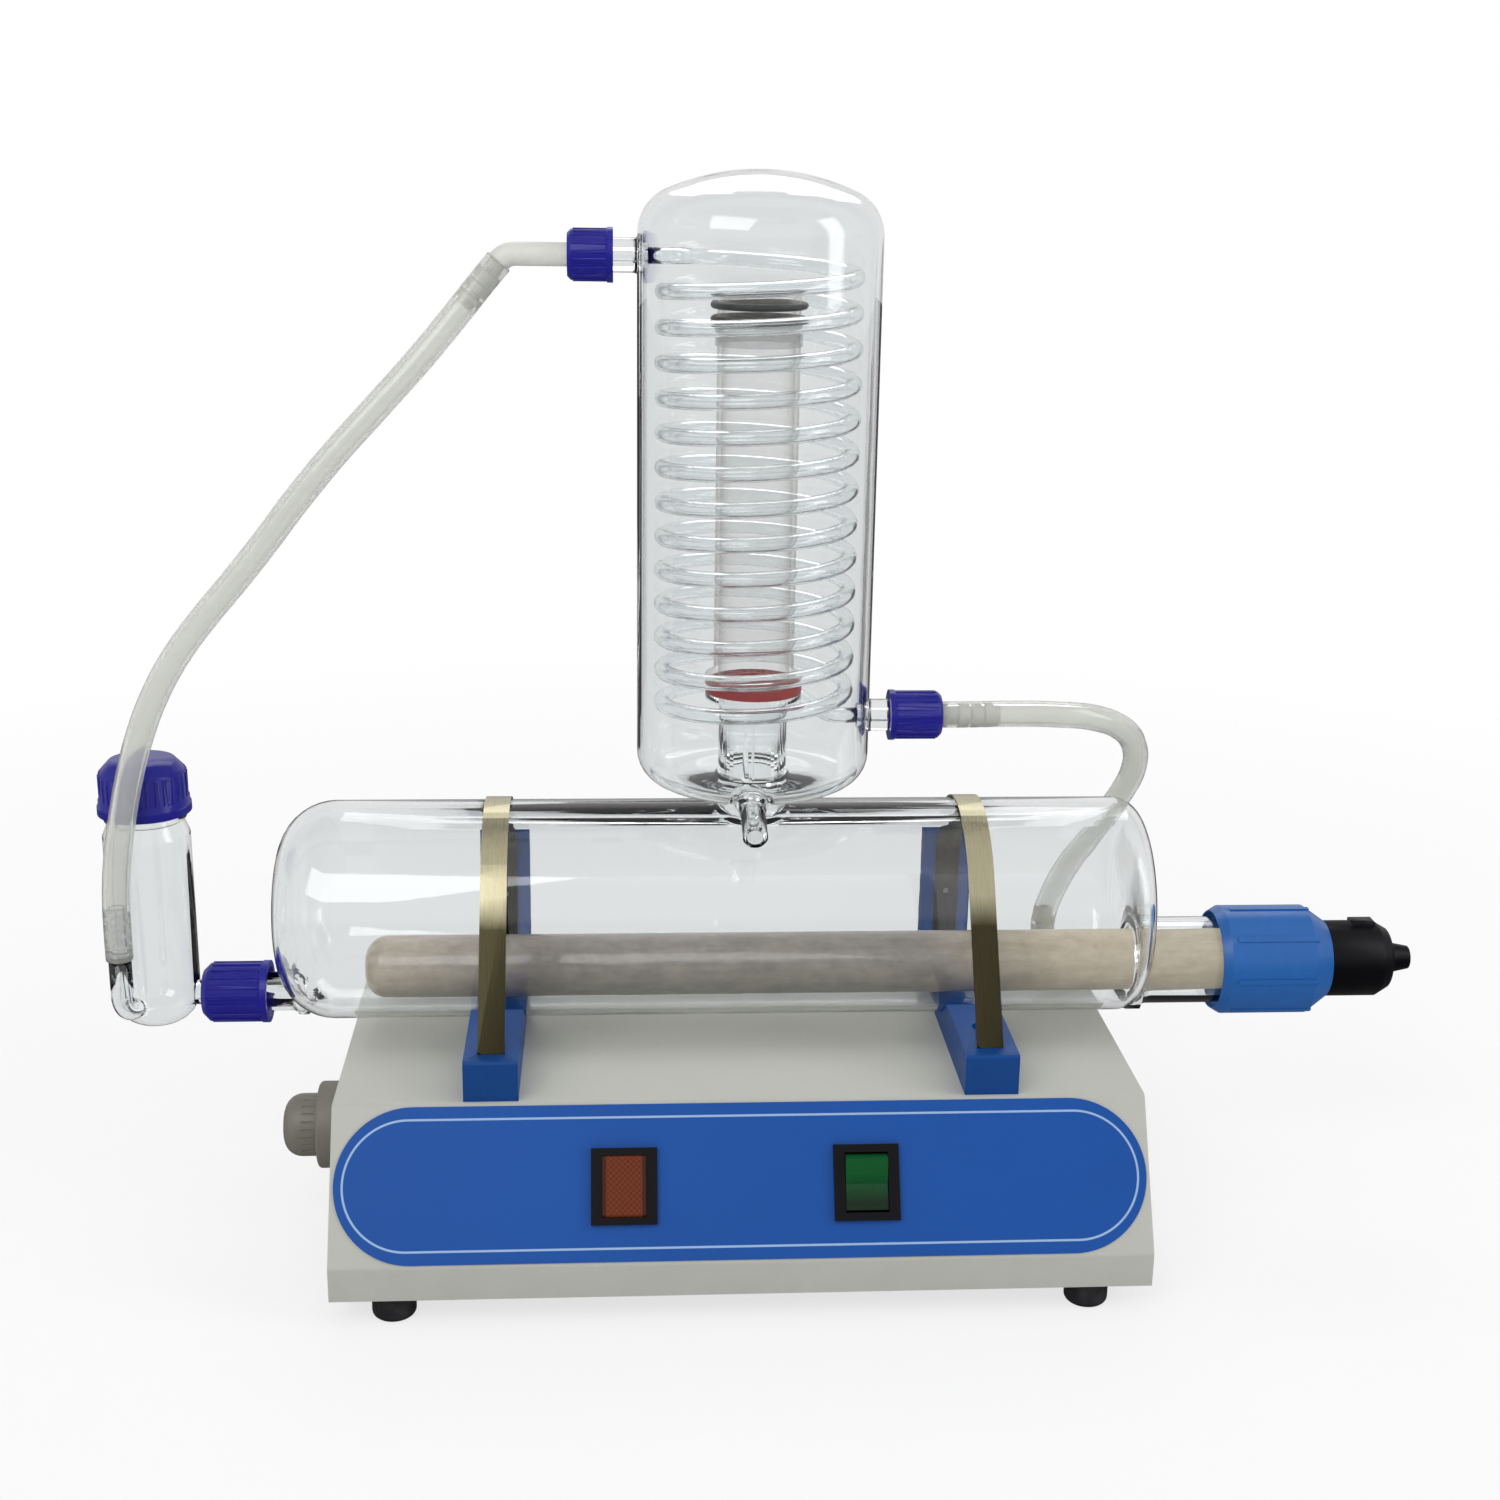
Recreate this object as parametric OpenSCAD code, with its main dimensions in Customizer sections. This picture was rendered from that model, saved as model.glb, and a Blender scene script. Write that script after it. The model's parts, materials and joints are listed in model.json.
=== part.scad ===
// Glass water distiller: a horizontal glass boiler with an immersion heater lies
// on two blue brackets, a condenser with a glass coil stands fused on top of it,
// and a levelling bottle hangs on its left end. Millimetres, +Z up.
// The sizes are written in the bench frame: x = 0 is the middle of the base,
// y = 0 the boiler's axis plane (+Y to the back) and z = 0 the bench.
// placed() then moves everything so that the origin is the bottom centre.

/* [Base] */
// Width of the base, left to right
base_w = 350; // [330:1:420]
// From the boiler's axis plane to the front lip
base_front = 126; // [118:1:150]
// From the boiler's axis plane to the back wall
base_back = 90; // [84:1:110]
// Height of the top panel above the bench
base_top = 86; // [80:1:95]
// Height of the upright lip below the sloping panel
lip_h = 15; // [10:1:18]
// How far the sloping panel leans back
panel_run = 33.6; // [26:0.2:40]
// Thickness of the sheet steel
sheet_t = 1.5; // [1:0.1:2.5]
// Bend radius along the sheet's edges
bend_r = 3; // [2.6:0.1:5]

/* [Feet] */
// Height of a rubber foot
foot_h = 12; // [8:0.5:18]
// Diameter of a rubber foot
foot_d = 18.8; // [16:0.2:24]
// Distance of a foot's centre from the base's side
foot_inset_x = 26; // [20:1:60]
// Distance of a foot's centre from the base's front or back
foot_inset_y = 11; // [10.5:0.5:40]
// Diameter of a foot's screw
foot_screw_d = 4; // [3:0.5:5]

/* [Front panel] */
// Margin between the blue label and the panel's side edges
label_margin_x = 1.5; // [0.5:0.5:10]
// Margin between the blue label and the panel's long edges
label_margin_y = 1.2; // [0.5:0.1:5]
// Thickness of the label
label_t = 0.6; // [0.4:0.1:1]
// Width of a bezel
bezel_w = 28; // [27:0.5:32]
// Height of a bezel, up the slope
bezel_l = 32; // [31:0.5:36]
// How far a bezel stands over the label
bezel_t = 2.2; // [1.5:0.1:3.5]
// Middle of both bezels, up the slope from the lip
bezel_up = 32.3; // [28:0.1:36]
// Distance of the indicator left of the middle
indicator_x = 51.3; // [35:0.1:70]
// Distance of the switch right of the middle
switch_x = 52; // [35:0.1:70]
// Width of the rocker
rocker_w = 18; // [14:0.5:18.4]
// Radius of the rocker's round ends about its pivot
rocker_r = 12.3; // [10:0.1:12.4]
// Angle through which the rocker tips
rocker_swing = 20; // [12:1:24]
// Depth of both bodies behind the panel
switch_depth = 20; // [16:1:26]

/* [Cord gland] */
// Distance of the gland in front of the boiler's axis plane
gland_front = 38; // [20:1:60]
// Height of the gland
gland_z = 50; // [34:1:60]
// Diameter of the gland's collar
gland_collar_d = 39; // [34:0.5:44]
// Length of the gland's collar
gland_collar_l = 13.6; // [8:0.2:18]
// Diameter of the gland's nut
gland_nut_d = 28.2; // [26:0.2:33]
// Length of the gland's nut
gland_nut_l = 15.4; // [13:0.2:20]
// Diameter of the supply cord that the seal grips
cord_d = 8; // [6:0.5:10]

/* [Brackets] */
// Distance of both brackets from the middle
bracket_x = 108; // [95:1:125]
// Width of a bracket
bracket_w = 23.5; // [18:0.5:30]
// Height of a bracket's foot above the base
bracket_h = 18.2; // [12:0.2:24]
// Reach of a bracket's foot in front of the boiler's axis
bracket_front = 90.8; // [86:0.2:92]
// Thickness of a bracket's upright
upright_t = 8; // [6:0.5:14]
// Height of a bracket's upright above the base
upright_h = 79; // [60:1:90]
// Width of a strap
strap_w = 11.6; // [8:0.2:18]
// Thickness of a strap
strap_t = 1; // [0.8:0.1:2]
// Where a strap's front leg meets the bracket's foot
strap_foot_y = 82; // [76:1:84]

/* [Boiler] */
// Outer radius of the boiler
boiler_r = 50; // [46:0.5:56]
// Thickness of the boiler's and the condenser's glass
glass_t = 2.5; // [1.8:0.1:3.2]
// Gap between the boiler and the top of the base
boiler_gap = 4; // [3:0.5:12]
// From the middle to the boiler's left end
boiler_left = 208; // [196:1:220]
// From the middle to the boiler's right shoulder
boiler_right = 190; // [180:1:200]
// Corner radius of the boiler's left end
left_round = 26; // [18:0.5:32]
// Corner radius of the boiler's right shoulder
right_round = 12; // [8:0.5:16]
// Outer radius of the heater's neck
heater_neck_r = 20.4; // [18.5:0.1:22]
// From the middle to the mouth of the heater's neck
heater_neck_end = 252; // [244:1:262]
// Outer radius of the vapour neck
vapour_neck_r = 15.4; // [13:0.1:17]
// Outer radius of the feed port
feed_port_r = 9; // [8.2:0.1:10]
// How far the feed port stands out of the boiler's left end
feed_port_l = 30; // [28:1:36]

/* [Heater] */
// Outer radius of the heater's sheath
sheath_r = 14.7; // [12.5:0.1:15.2]
// Round left end of the sheath, from the middle
sheath_left = 170; // [120:1:180]
// Thickness of the sheath
sheath_t = 1.6; // [1:0.1:2.2]
// Outer radius of the union nut
union_r = 26.2; // [24.5:0.1:30]
// Left end of the union nut, from the middle
union_left = 228; // [222:1:236]
// Length of the union nut
union_l = 54; // [46:1:62]
// Outer radius of the terminal cap
terminal_cap_r = 18; // [16.6:0.1:20]
// Length of the terminal cap
terminal_cap_l = 31; // [26:1:38]
// Diameter of the lead that the terminal cap takes
lead_d = 7; // [5:0.5:9]

/* [Condenser] */
// Condenser axis to the right of the middle
condenser_x = 7.7; // [0:0.1:16]
// Outer radius of the condenser's jacket
jacket_r = 52.4; // [50:0.1:58]
// Underside of the jacket
jacket_bottom = 202; // [200:1:210]
// Corner radius of the jacket's underside
jacket_round = 14; // [10:0.5:18]
// Radius of the dome's crown
crown_r = 100; // [90:1:120]
// Radius of the dome's knuckle
knuckle_r = 20; // [14:0.5:26]
// Top of the dome
dome_top = 470; // [466:1:500]
// Radius of the coil's centre line
coil_r = 41.5; // [40:0.1:42.2]
// Diameter of the coil's tube
coil_tube_d = 7; // [5.5:0.1:8]
// Turns of the coil
coil_turns = 14; // [10:1:15]
// From the dome's top down to the upper port
upper_port_drop = 36; // [34:1:44]
// Height of the lower port
lower_port_z = 232; // [230:1:240]
// Outer radius of the chimney
chimney_r = 18; // [16.4:0.1:20]
// Wall of the chimney
chimney_t = 2; // [1.4:0.1:2.4]
// From the dome's top down to the chimney's top
chimney_drop = 51; // [49:1:70]
// Flange radius of the chimney and of the vapour neck
flange_r = 21.75; // [21:0.05:26]
// Outer radius of the distillate spout
spout_r = 5.4; // [4.5:0.1:6.5]
// Front end of the spout, in front of the boiler's axis plane
spout_front = 72; // [64:1:80]
// Height of the spout's end
spout_z = 198; // [197:0.5:200]
// Fall of the spout in degrees
spout_fall = 16; // [12:1:18]

/* [Hose fittings] */
// Outer radius of a glass hose port
port_r = 7.25; // [6.6:0.05:8]
// Outer radius of a hose cap
port_cap_r = 11.5; // [10.8:0.1:13]
// Length of the upper hose cap
upper_cap_l = 19.4; // [16:0.2:20]
// Length of the lower hose cap
lower_cap_l = 23.8; // [20:0.2:26]
// Outer radius of a hose nozzle
nozzle_r = 4.6; // [4:0.1:5.2]
// Outer diameter of the hoses
hose_d = 12; // [11:0.5:14]

/* [Levelling bottle] */
// From the feed port's mouth to the bottle's axis
bottle_gap = 28; // [26.5:0.5:34]
// Outer radius of the bottle
bottle_r = 19.3; // [18.4:0.1:21]
// Bottom of the bottle
bottle_bottom = 86; // [82:1:88]
// Mouth of the bottle
bottle_mouth = 206; // [200:1:212]
// Outer radius of the bottle's thread
bottle_thread_r = 16; // [15:0.1:16.3]
// Radius of the bottle cap's ribbed wall
bottle_cap_r = 19.5; // [19:0.1:21.5]
// Height of the bottle cap
bottle_cap_h = 24; // [20:1:28]
// Outer radius of the coupling nut
coupling_r = 14.4; // [13.4:0.1:16]
// Length of the coupling nut
coupling_l = 30; // [27:0.5:33]
// Distance of the hose tube in front of the bottle's axis
side_tube_front = 28; // [26:0.5:32]

/* [Clearances] */
// Between a nut or cap and the thread under it
thread_gap = 0.35; // [0.3:0.05:0.6]
// Between faces that turn past each other
face_gap = 0.3; // [0.2:0.05:0.4]
// Between the rocker and its frame
rocker_gap = 0.3; // [0.2:0.05:0.5]
// Between the rocker's pins and their holes
pin_gap = 0.05; // [0.02:0.01:0.1]
// Between the boiler and what holds it
cradle_gap = 0.3; // [0.2:0.1:0.8]

/* [Hidden] */
$fn = 96;
// Overshoot of a cut past the face that it opens
cut = 1;

// Colours
cream = "#d8d4c4";
blue = "#2a56a0";
cap_blue = "#23239a";
nut_blue = "#3173b4";
steel = "silver";
glass = [0.86, 0.92, 0.93, 0.45];
seal_red = "#b8402c";
black = "#1d1d20";
hose_white = [0.88, 0.89, 0.85, 0.9];

// Base, worked out
base_depth = base_front + base_back;
panel_top_y = -base_front + panel_run;
panel_rise = base_top - foot_h - lip_h;
panel_tilt = atan(panel_run / panel_rise);
panel_l = norm([panel_run, panel_rise]);
plate_gap = 0.2;
flange_w = 14;
// Wide enough to reach the front row of screws
front_flange_w = 28;
wall_in = base_w / 2 - sheet_t;
foot_x = base_w / 2 - foot_inset_x;
foot_ys = [-base_front + foot_inset_y, base_back - foot_inset_y];
housing_screw_ys = [-base_front + sheet_t + 20, base_back - sheet_t - 8];
housing_screw_spots = [for (x = [-0.75, 0, 0.75]) for (y = housing_screw_ys) [x * foot_x, y]];

// Front panel, worked out
body_w = 22.6;
body_l = bezel_l - 3;
body_gap = 0.2;
pivot_depth = 2;
pin_r = 1.4;
pin_l = 1.4;
lens_w = 18.5;
lens_l = 25.6;
rocker_open_w = rocker_w + 2 * rocker_gap;
rocker_open_l = 2 * (rocker_r + rocker_gap);

// Cord gland, worked out
gland_shank_r = 10;
gland_boss_r = gland_nut_d / 2 - 3.6;
gland_bore_r = gland_boss_r - 2.6;

// Boiler, worked out
boiler_z = base_top + boiler_gap + boiler_r;
flush_gap = 0.4;
feed_port_end = boiler_left + feed_port_l;
heater_z = boiler_z - boiler_r + heater_neck_r + flush_gap;
feed_z = boiler_z - boiler_r + feed_port_r + flush_gap;
neck_bore_r = heater_neck_r - 2.2;
feed_bore_r = feed_port_r - 2.6;
vapour_bore_r = vapour_neck_r - 2.2;

// Heater, worked out: heights along it from the sheath's left end
head_z = sheath_left + heater_neck_end;
seal_t = 4;
head_flange_t = 3;
union_wall_z = head_z + seal_t + head_flange_t + face_gap;
cap_start = sheath_left + union_left + union_l + 0.5;
sheath_end = cap_start + 10;
heated_start = 34;
heated_l = head_z - heated_start - 70;

// Condenser, worked out
knuckle_off = jacket_r - knuckle_r;
knuckle_angle = acos(knuckle_off / (crown_r - knuckle_r));
crown_z = dome_top - crown_r;
upper_port_z = dome_top - upper_port_drop;
chimney_top = dome_top - chimney_drop;
knuckle_z = crown_z + (crown_r - knuckle_r) * sin(knuckle_angle);
neck_flange_z = jacket_bottom + 42;
flange_t = 4;
neck_seal_t = 4.2;
chimney_z = neck_flange_z + neck_seal_t;
port_out_upper = 24.3;
port_out_lower = 28;
port_bore_r = 2.3;
boss_r = 5.5;
spout_back = 34;
spout_l = 18;
// The coil's straight ends stop on these flat glass bosses
boss_face = jacket_r - glass_t - 2.2;

// Coil, worked out
coil_blend_turn = 0.22;
coil_top_z = upper_port_z - 3;
coil_bottom_z = lower_port_z + 3;
coil_rings = 24;

// Strap, worked out: the front leg leaves the arc where it is tangent
strap_r = boiler_r + cradle_gap + strap_t / 2;
block_top = base_top + bracket_h;
strap_drop = boiler_z - block_top - 1;
strap_foot_dist = norm([strap_foot_y, strap_drop]);
strap_leave = 180 + atan(strap_drop / strap_foot_y) - acos(strap_r / strap_foot_dist);
upright_y = strap_r + strap_t / 2;
strap_back_z = block_top + 1;
strap_screw_z = boiler_z - 12;
strap_tail = 8;
strap_slot_gap = 0.2;
strap_screw_d = 2.8;
bracket_screw_d = 4;
bracket_screw_ys = [-60, 44];

// Hose fittings, worked out
cap_floor = 2.2;
nozzle_flange_t = 1.6;
nozzle_bore_r = 2.4;
tail_bore_r = 2.1;
barb_rise = 0.8;
upper_cap_end = port_out_upper + 5.2;
lower_cap_end = port_out_lower + 5.2;
elbow_r = 9;
elbow_angle = 50;
elbow_out = 21.8;
barb_l = 24;

// Levelling bottle, worked out
bottle_x = feed_port_end + bottle_gap;
bottle_t = 1.8;
side_arm_r = feed_bore_r - 0.7;
cap_z = bottle_mouth - 18;
cap_pitch = 4;
side_tube_x = 9;
side_tube_out = norm([side_tube_x, side_tube_front]);
side_tube_turn = atan2(-side_tube_front, -side_tube_x);
side_tube_r = 5;
side_bend_r = 10;
side_tube_z = bottle_bottom + 14;
side_tube_top = side_tube_z + 52;
side_barb_z = side_tube_z + 27;
coupling_seal_t = 4;

// Water fittings, worked out
outlet_pos = [base_w / 2 - 12, base_back - 16];
inlet_x = base_w / 2 - 55;
inlet_z = 45;
inlet_reach = 26;
fitting_shank_r = 5;
fitting_bore_r = 2.2;
tail_r = 4;
switch_box = [34, 22, 24];

// Terminal block, worked out
block_size = [60, 22, 18];
block_y = 20;
way_pitch = 12;
way_z = 10;
way_r = 2.6;

// The whole part's reach, for the origin
left_reach = bottle_x + bottle_cap_r + 1.15;
right_reach = union_left + union_l + terminal_cap_l + 11.5;
back_reach = base_back + inlet_reach;
shift = [(left_reach - right_reach) / 2, (base_front - back_reach) / 2, 0];

// Routes of the hoses, chosen by hand in the bench frame for the sizes above
feed_shape = [[-102.9, 0, 430.8], [-112, 0, 420], [-120, -1, 410.5], [-136, -5, 390],
    [-156, -9, 370], [-175, -12, 349], [-191, -14, 331], [-204, -16, 312],
    [-217, -19, 297], [-231, -21, 281], [-243, -23.5, 266], [-252, -26, 250],
    [-259.5, -28, 232], [-265, -28.5, 213], [-269, -28.5, 195], [-272, -28, 180],
    [-274, -28, 166], [-275, -28, 152], [-275, -28, 139], [-275, -28, 127.5]];
cooling_shape = [[93.4, 0, 232], [106, 0, 232], [123, 0, 232.5], [147, 2, 231.5],
    [169, 8, 229], [184, 18, 221], [194, 30, 208], [197, 42, 193], [194, 52, 178],
    [188, 61, 163], [180, 67, 149], [172, 71, 134], [166, 73.5, 119],
    [163, 74, 104], [163, 74, 91]];
// Where the hoses end: below the upper nozzle's elbow, on the bottle's tube, on
// the lower nozzle and on the outlet's tail
elbow_end = condenser_x - jacket_r - upper_cap_end - elbow_out - elbow_r * sin(elbow_angle);
feed_ends = [[elbow_end, 0, upper_port_z - elbow_r * (1 - cos(elbow_angle))],
    [-bottle_x - side_tube_x, -side_tube_front, side_barb_z + 0.5]];
cooling_ends = [[condenser_x + jacket_r + lower_cap_end + 0.1, 0, lower_port_z],
    [outlet_pos.x, outlet_pos.y, base_top + 5]];
feed_route = fitted(feed_shape, feed_ends);
cooling_route = fitted(cooling_shape, cooling_ends);

// ---------- helpers ----------

// A line of points moved and stretched so that it starts and stops at two ends
function fitted(p, ends) = let(
    first = p[0],
    last = p[len(p) - 1])
    [for (q = p) [for (k = [0:2]) ends[0][k] + (q[k] - first[k])
        * (last[k] == first[k] ? 1 : (ends[1][k] - ends[0][k]) / (last[k] - first[k]))]];

// Moves a piece from the bench frame to the part's own frame
module placed() {
    translate(shift) children();
}

// Points on an arc
function arc(centre, r, from, to, n) =
    [for (i = [0:n]) centre + r * [cos(from + (to - from) * i / n), sin(from + (to - from) * i / n)]];

// Points that round the corner at b, between a and c
function corner(a, b, c, r, n = 6) = let(
    u = (a - b) / norm(a - b),
    v = (c - b) / norm(c - b),
    half = acos(u * v) / 2,
    mid = b + (u + v) / norm(u + v) * r / sin(half),
    from = b + u * r / tan(half) - mid,
    to = b + v * r / tan(half) - mid,
    start = atan2(from.y, from.x),
    turn = (atan2(to.y, to.x) - start + 540) % 360 - 180)
    arc(mid, r, start, start + turn, n);

// A closed outline from [x, y, corner radius] entries
function rounded(list, n = 6) = let(m = len(list))
    [for (i = [0:m - 1]) let(p = list[i], a = list[(i + m - 1) % m], c = list[(i + 1) % m])
        each p[2] == 0 ? [[p.x, p.y]]
            : corner([a.x, a.y], [p.x, p.y], [c.x, c.y], p[2], n)];

// Turns a revolved solid about Z into one about X, its height along +X
module along_x() {
    rotate([0, 90, 0]) children();
}

// A ring between two radii
module ring(outer, inner, h) {
    difference() {
        cylinder(r = outer, h = h);
        translate([0, 0, -cut]) cylinder(r = inner, h = h + 2 * cut);
    }
}

// A pan-head screw with its head above z = 0 and its shank below
module screw(d, shank, head_h = 2) {
    cylinder(d = 2 * d, h = head_h);
    translate([0, 0, -shank]) cylinder(d = d, h = shank + head_h / 2);
}

// Sweeps a round tube along points; ref is never along the path
function unit(v) = v / norm(v);
function tangent(p, i) = unit(p[min(i + 1, len(p) - 1)] - p[max(i - 1, 0)]);
function tube_ring(p, i, r, sides, ref, t) = let(
    s = unit(cross(t, ref)),
    u = cross(s, t))
    [for (k = [0:sides - 1]) p[i] + r * (cos(360 * k / sides) * s + sin(360 * k / sides) * u)];
module swept_tube(p, r, sides, ref, first, last) {
    n = len(p);
    dirs = [for (i = [0:n - 1]) i == 0 ? first : i == n - 1 ? last : tangent(p, i)];
    rings = [for (i = [0:n - 1]) each tube_ring(p, i, r, sides, ref, dirs[i])];
    sides_faces = [for (i = [0:n - 2]) for (k = [0:sides - 1]) let(
        a = i * sides + k,
        b = i * sides + (k + 1) % sides,
        c = a + sides,
        d = b + sides)
        each [[a, c, b], [b, c, d]]];
    start_cap = [[for (k = [0:sides - 1]) k]];
    end_cap = [[for (k = [sides - 1:-1:0]) (n - 1) * sides + k]];
    polyhedron(points = rings, faces = concat(sides_faces, start_cap, end_cap), convexity = 8);
}

// The frame of the sloping panel: X right, Y up the slope, Z outwards
module on_panel(x = 0, up = 0) {
    translate([x, -base_front, foot_h + lip_h]) rotate([90 - panel_tilt, 0, 0])
        translate([0, up, 0]) children();
}

// A block centred in X and Y, from z0 to z1
module block(w, l, z0, z1) {
    translate([-w / 2, -l / 2, z0]) cube([w, l, z1 - z0]);
}

// ---------- base ----------

// Side outline of the housing in (y, z), drawn in by d
function base_outline(d) = let(
    r = max(bend_r - d, 0.2),
    low = foot_h - (d > 0 ? cut : 0))
    rounded([[-base_front + d, low, 0],
        [-base_front + d, foot_h + lip_h - d * tan(panel_tilt / 2), r],
        [panel_top_y + d * tan((90 - panel_tilt) / 2), base_top - d, r],
        [base_back - d, base_top - d, r], [base_back - d, low, 0]], 4);

module base_housing() {
    color(cream) placed() {
        difference() {
            side_prism(0, base_w / 2);
            side_prism(sheet_t, wall_in);
            for (x = [-indicator_x, switch_x])
                on_panel(x, bezel_up) block(body_w + 2 * body_gap, body_l + 2 * body_gap, -6, 4);
            translate([-base_w / 2 - cut, -gland_front, gland_z])
                along_x() cylinder(r = gland_shank_r + 0.2, h = 6);
            translate([outlet_pos.x, outlet_pos.y, base_top - 6])
                cylinder(r = fitting_shank_r + 0.2, h = 12);
            translate([inlet_x, base_back + cut, inlet_z])
                rotate([90, 0, 0]) cylinder(r = fitting_shank_r + 0.2, h = 6);
            for (x = [-1, 1]) for (y = bracket_screw_ys)
                translate([x * bracket_x, y, base_top - 6]) cylinder(d = bracket_screw_d + 0.4, h = 12);
        }
        // The turned-in flange that the base plate screws up to
        front = -base_front + sheet_t;
        depth = base_depth - 2 * sheet_t;
        translate([0, 0, foot_h + sheet_t + plate_gap]) difference() {
            translate([-wall_in, front, 0]) cube([2 * wall_in, depth, sheet_t]);
            translate([-wall_in + flange_w, front + front_flange_w, -cut])
                cube([2 * (wall_in - flange_w), depth - flange_w - front_flange_w, sheet_t + 2 * cut]);
            for (p = housing_screw_spots)
                translate([p.x, p.y, -cut]) cylinder(d = 3.2, h = sheet_t + 2 * cut);
            for (x = [-foot_x, foot_x]) for (y = foot_ys)
                translate([x, y, -cut]) cylinder(d = foot_screw_d + 6, h = sheet_t + 2 * cut);
        }
    }
}

// The housing's outline, drawn in by d and run to +/- half its width
module side_prism(d, half) {
    rotate([90, 0, 90]) translate([0, 0, -half]) linear_extrude(2 * half) polygon(base_outline(d));
}

module base_plate() {
    color(steel) placed() translate([0, 0, foot_h]) difference() {
        translate([-wall_in + plate_gap, -base_front + sheet_t + plate_gap, 0])
            cube([2 * (wall_in - plate_gap), base_depth - 2 * (sheet_t + plate_gap), sheet_t]);
        for (x = [-foot_x, foot_x]) for (y = foot_ys)
            translate([x, y, -cut]) cylinder(d = foot_screw_d + 0.4, h = sheet_t + 2 * cut);
        for (p = housing_screw_spots)
            translate([p.x, p.y, -cut]) cylinder(d = 3.4, h = sheet_t + 2 * cut);
    }
}

module housing_screws() {
    color(steel) placed() for (p = housing_screw_spots)
        translate([p.x, p.y, foot_h]) rotate([180, 0, 0]) screw(3, 6, 1.8);
}

// A rubber foot with a recess for its screw's head
module foot(x, y) {
    r = foot_d / 2;
    color(black) placed() translate([x, y, 0]) difference() {
        rotate_extrude() polygon(rounded([[0, 0, 0], [r, 0, 2.5], [r, foot_h, 0.8], [0, foot_h, 0]], 5));
        translate([0, 0, -cut]) cylinder(d = 2 * foot_screw_d + 0.8, h = foot_h / 2 + cut);
        translate([0, 0, -cut]) cylinder(d = foot_screw_d + 0.4, h = foot_h + 2 * cut);
    }
}
module foot_front_left() { foot(-foot_x, foot_ys[0]); }
module foot_front_right() { foot(foot_x, foot_ys[0]); }
module foot_back_left() { foot(-foot_x, foot_ys[1]); }
module foot_back_right() { foot(foot_x, foot_ys[1]); }

module foot_screws() {
    color(steel) placed() for (x = [-foot_x, foot_x]) for (y = foot_ys)
        translate([x, y, foot_h / 2]) {
            rotate([180, 0, 0]) screw(foot_screw_d, foot_h / 2 + sheet_t + 5, 2.2);
            translate([0, 0, foot_h / 2 + sheet_t]) cylinder(d = 1.75 * foot_screw_d, h = 3, $fn = 6);
        }
}

// ---------- front panel ----------

module front_label() {
    w = base_w - 2 * label_margin_x;
    l = panel_l - 2 * label_margin_y;
    color(blue) placed() on_panel(0, panel_l / 2) difference() {
        union() {
            block(w - l, l, 0, label_t);
            for (x = [-1, 1]) translate([x * (w - l) / 2, 0, 0]) cylinder(d = l, h = label_t);
        }
        for (x = [-indicator_x, switch_x])
            translate([x, bezel_up - panel_l / 2, 0])
                block(body_w + 2 * body_gap, body_l + 2 * body_gap, -cut, label_t + cut);
    }
}

// Bezel and body in one, hollow to the given depth below the label's face
module panel_body(open_w, open_l, depth) {
    difference() {
        union() {
            block(bezel_w, bezel_l, label_t, label_t + bezel_t);
            block(body_w, body_l, -switch_depth, label_t + bezel_t / 2);
        }
        block(open_w, open_l, -depth, label_t + bezel_t + cut);
    }
}

module indicator_body() {
    color(black) placed() on_panel(-indicator_x, bezel_up) panel_body(lens_w + 0.2, lens_l + 0.2, 8);
}

module indicator_lens() {
    lens_top = label_t + bezel_t + 0.8;
    color("#7a3a1c") placed() on_panel(-indicator_x, bezel_up) difference() {
        rotate([90, 0, 90]) translate([0, 0, -lens_w / 2]) linear_extrude(lens_w)
            polygon(rounded([[-lens_l / 2, -8, 0], [lens_l / 2, -8, 0],
                [lens_l / 2, lens_top, 1.2], [-lens_l / 2, lens_top, 1.2]], 4));
        block(lens_w - 3, lens_l - 3, -8 - cut, lens_top - 2);
    }
}

module switch_body() {
    color(black) placed() on_panel(switch_x, bezel_up) difference() {
        panel_body(rocker_open_w, rocker_open_l, pivot_depth + rocker_r - 1);
        translate([-rocker_open_w / 2 - pin_l - face_gap, 0, -pivot_depth])
            along_x() cylinder(r = pin_r + pin_gap, h = rocker_open_w + 2 * (pin_l + face_gap), $fn = 48);
    }
}

// The rocker is round about its pivot, with a shallow V on top, and rests
// tipped so that its lower half lies level with the bezel
module switch_rocker() {
    v_depth = 4.2;
    slope = tan(rocker_swing / 2);
    color("#0c5a2c") placed() on_panel(switch_x, bezel_up) translate([0, 0, -pivot_depth])
        rotate([rocker_swing / 2, 0, 0]) {
            intersection() {
                translate([-rocker_w / 2, 0, 0]) along_x() cylinder(r = rocker_r, h = rocker_w);
                rotate([90, 0, 90]) translate([0, 0, -rocker_w / 2]) linear_extrude(rocker_w)
                    polygon([[-rocker_r - 1, -4], [rocker_r + 1, -4],
                        [rocker_r + 1, v_depth + slope * (rocker_r + 1)], [0, v_depth],
                        [-rocker_r - 1, v_depth + slope * (rocker_r + 1)]]);
            }
            translate([-rocker_w / 2 - rocker_gap - pin_l, 0, 0])
                along_x() cylinder(r = pin_r, h = rocker_w + 2 * (rocker_gap + pin_l), $fn = 48);
        }
}

module panel_terminals() {
    color("#c9a44a") placed() {
        on_panel(-indicator_x, bezel_up) for (y = [-7, 7])
            translate([0, y, 0]) block(6.3, 0.8, -switch_depth - 8, -switch_depth);
        on_panel(switch_x, bezel_up) for (x = [-5.5, 5.5]) for (y = [-7, 7])
            translate([x, y, 0]) block(6.3, 0.8, -switch_depth - 8, -switch_depth);
    }
}

// ---------- cord gland ----------

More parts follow.
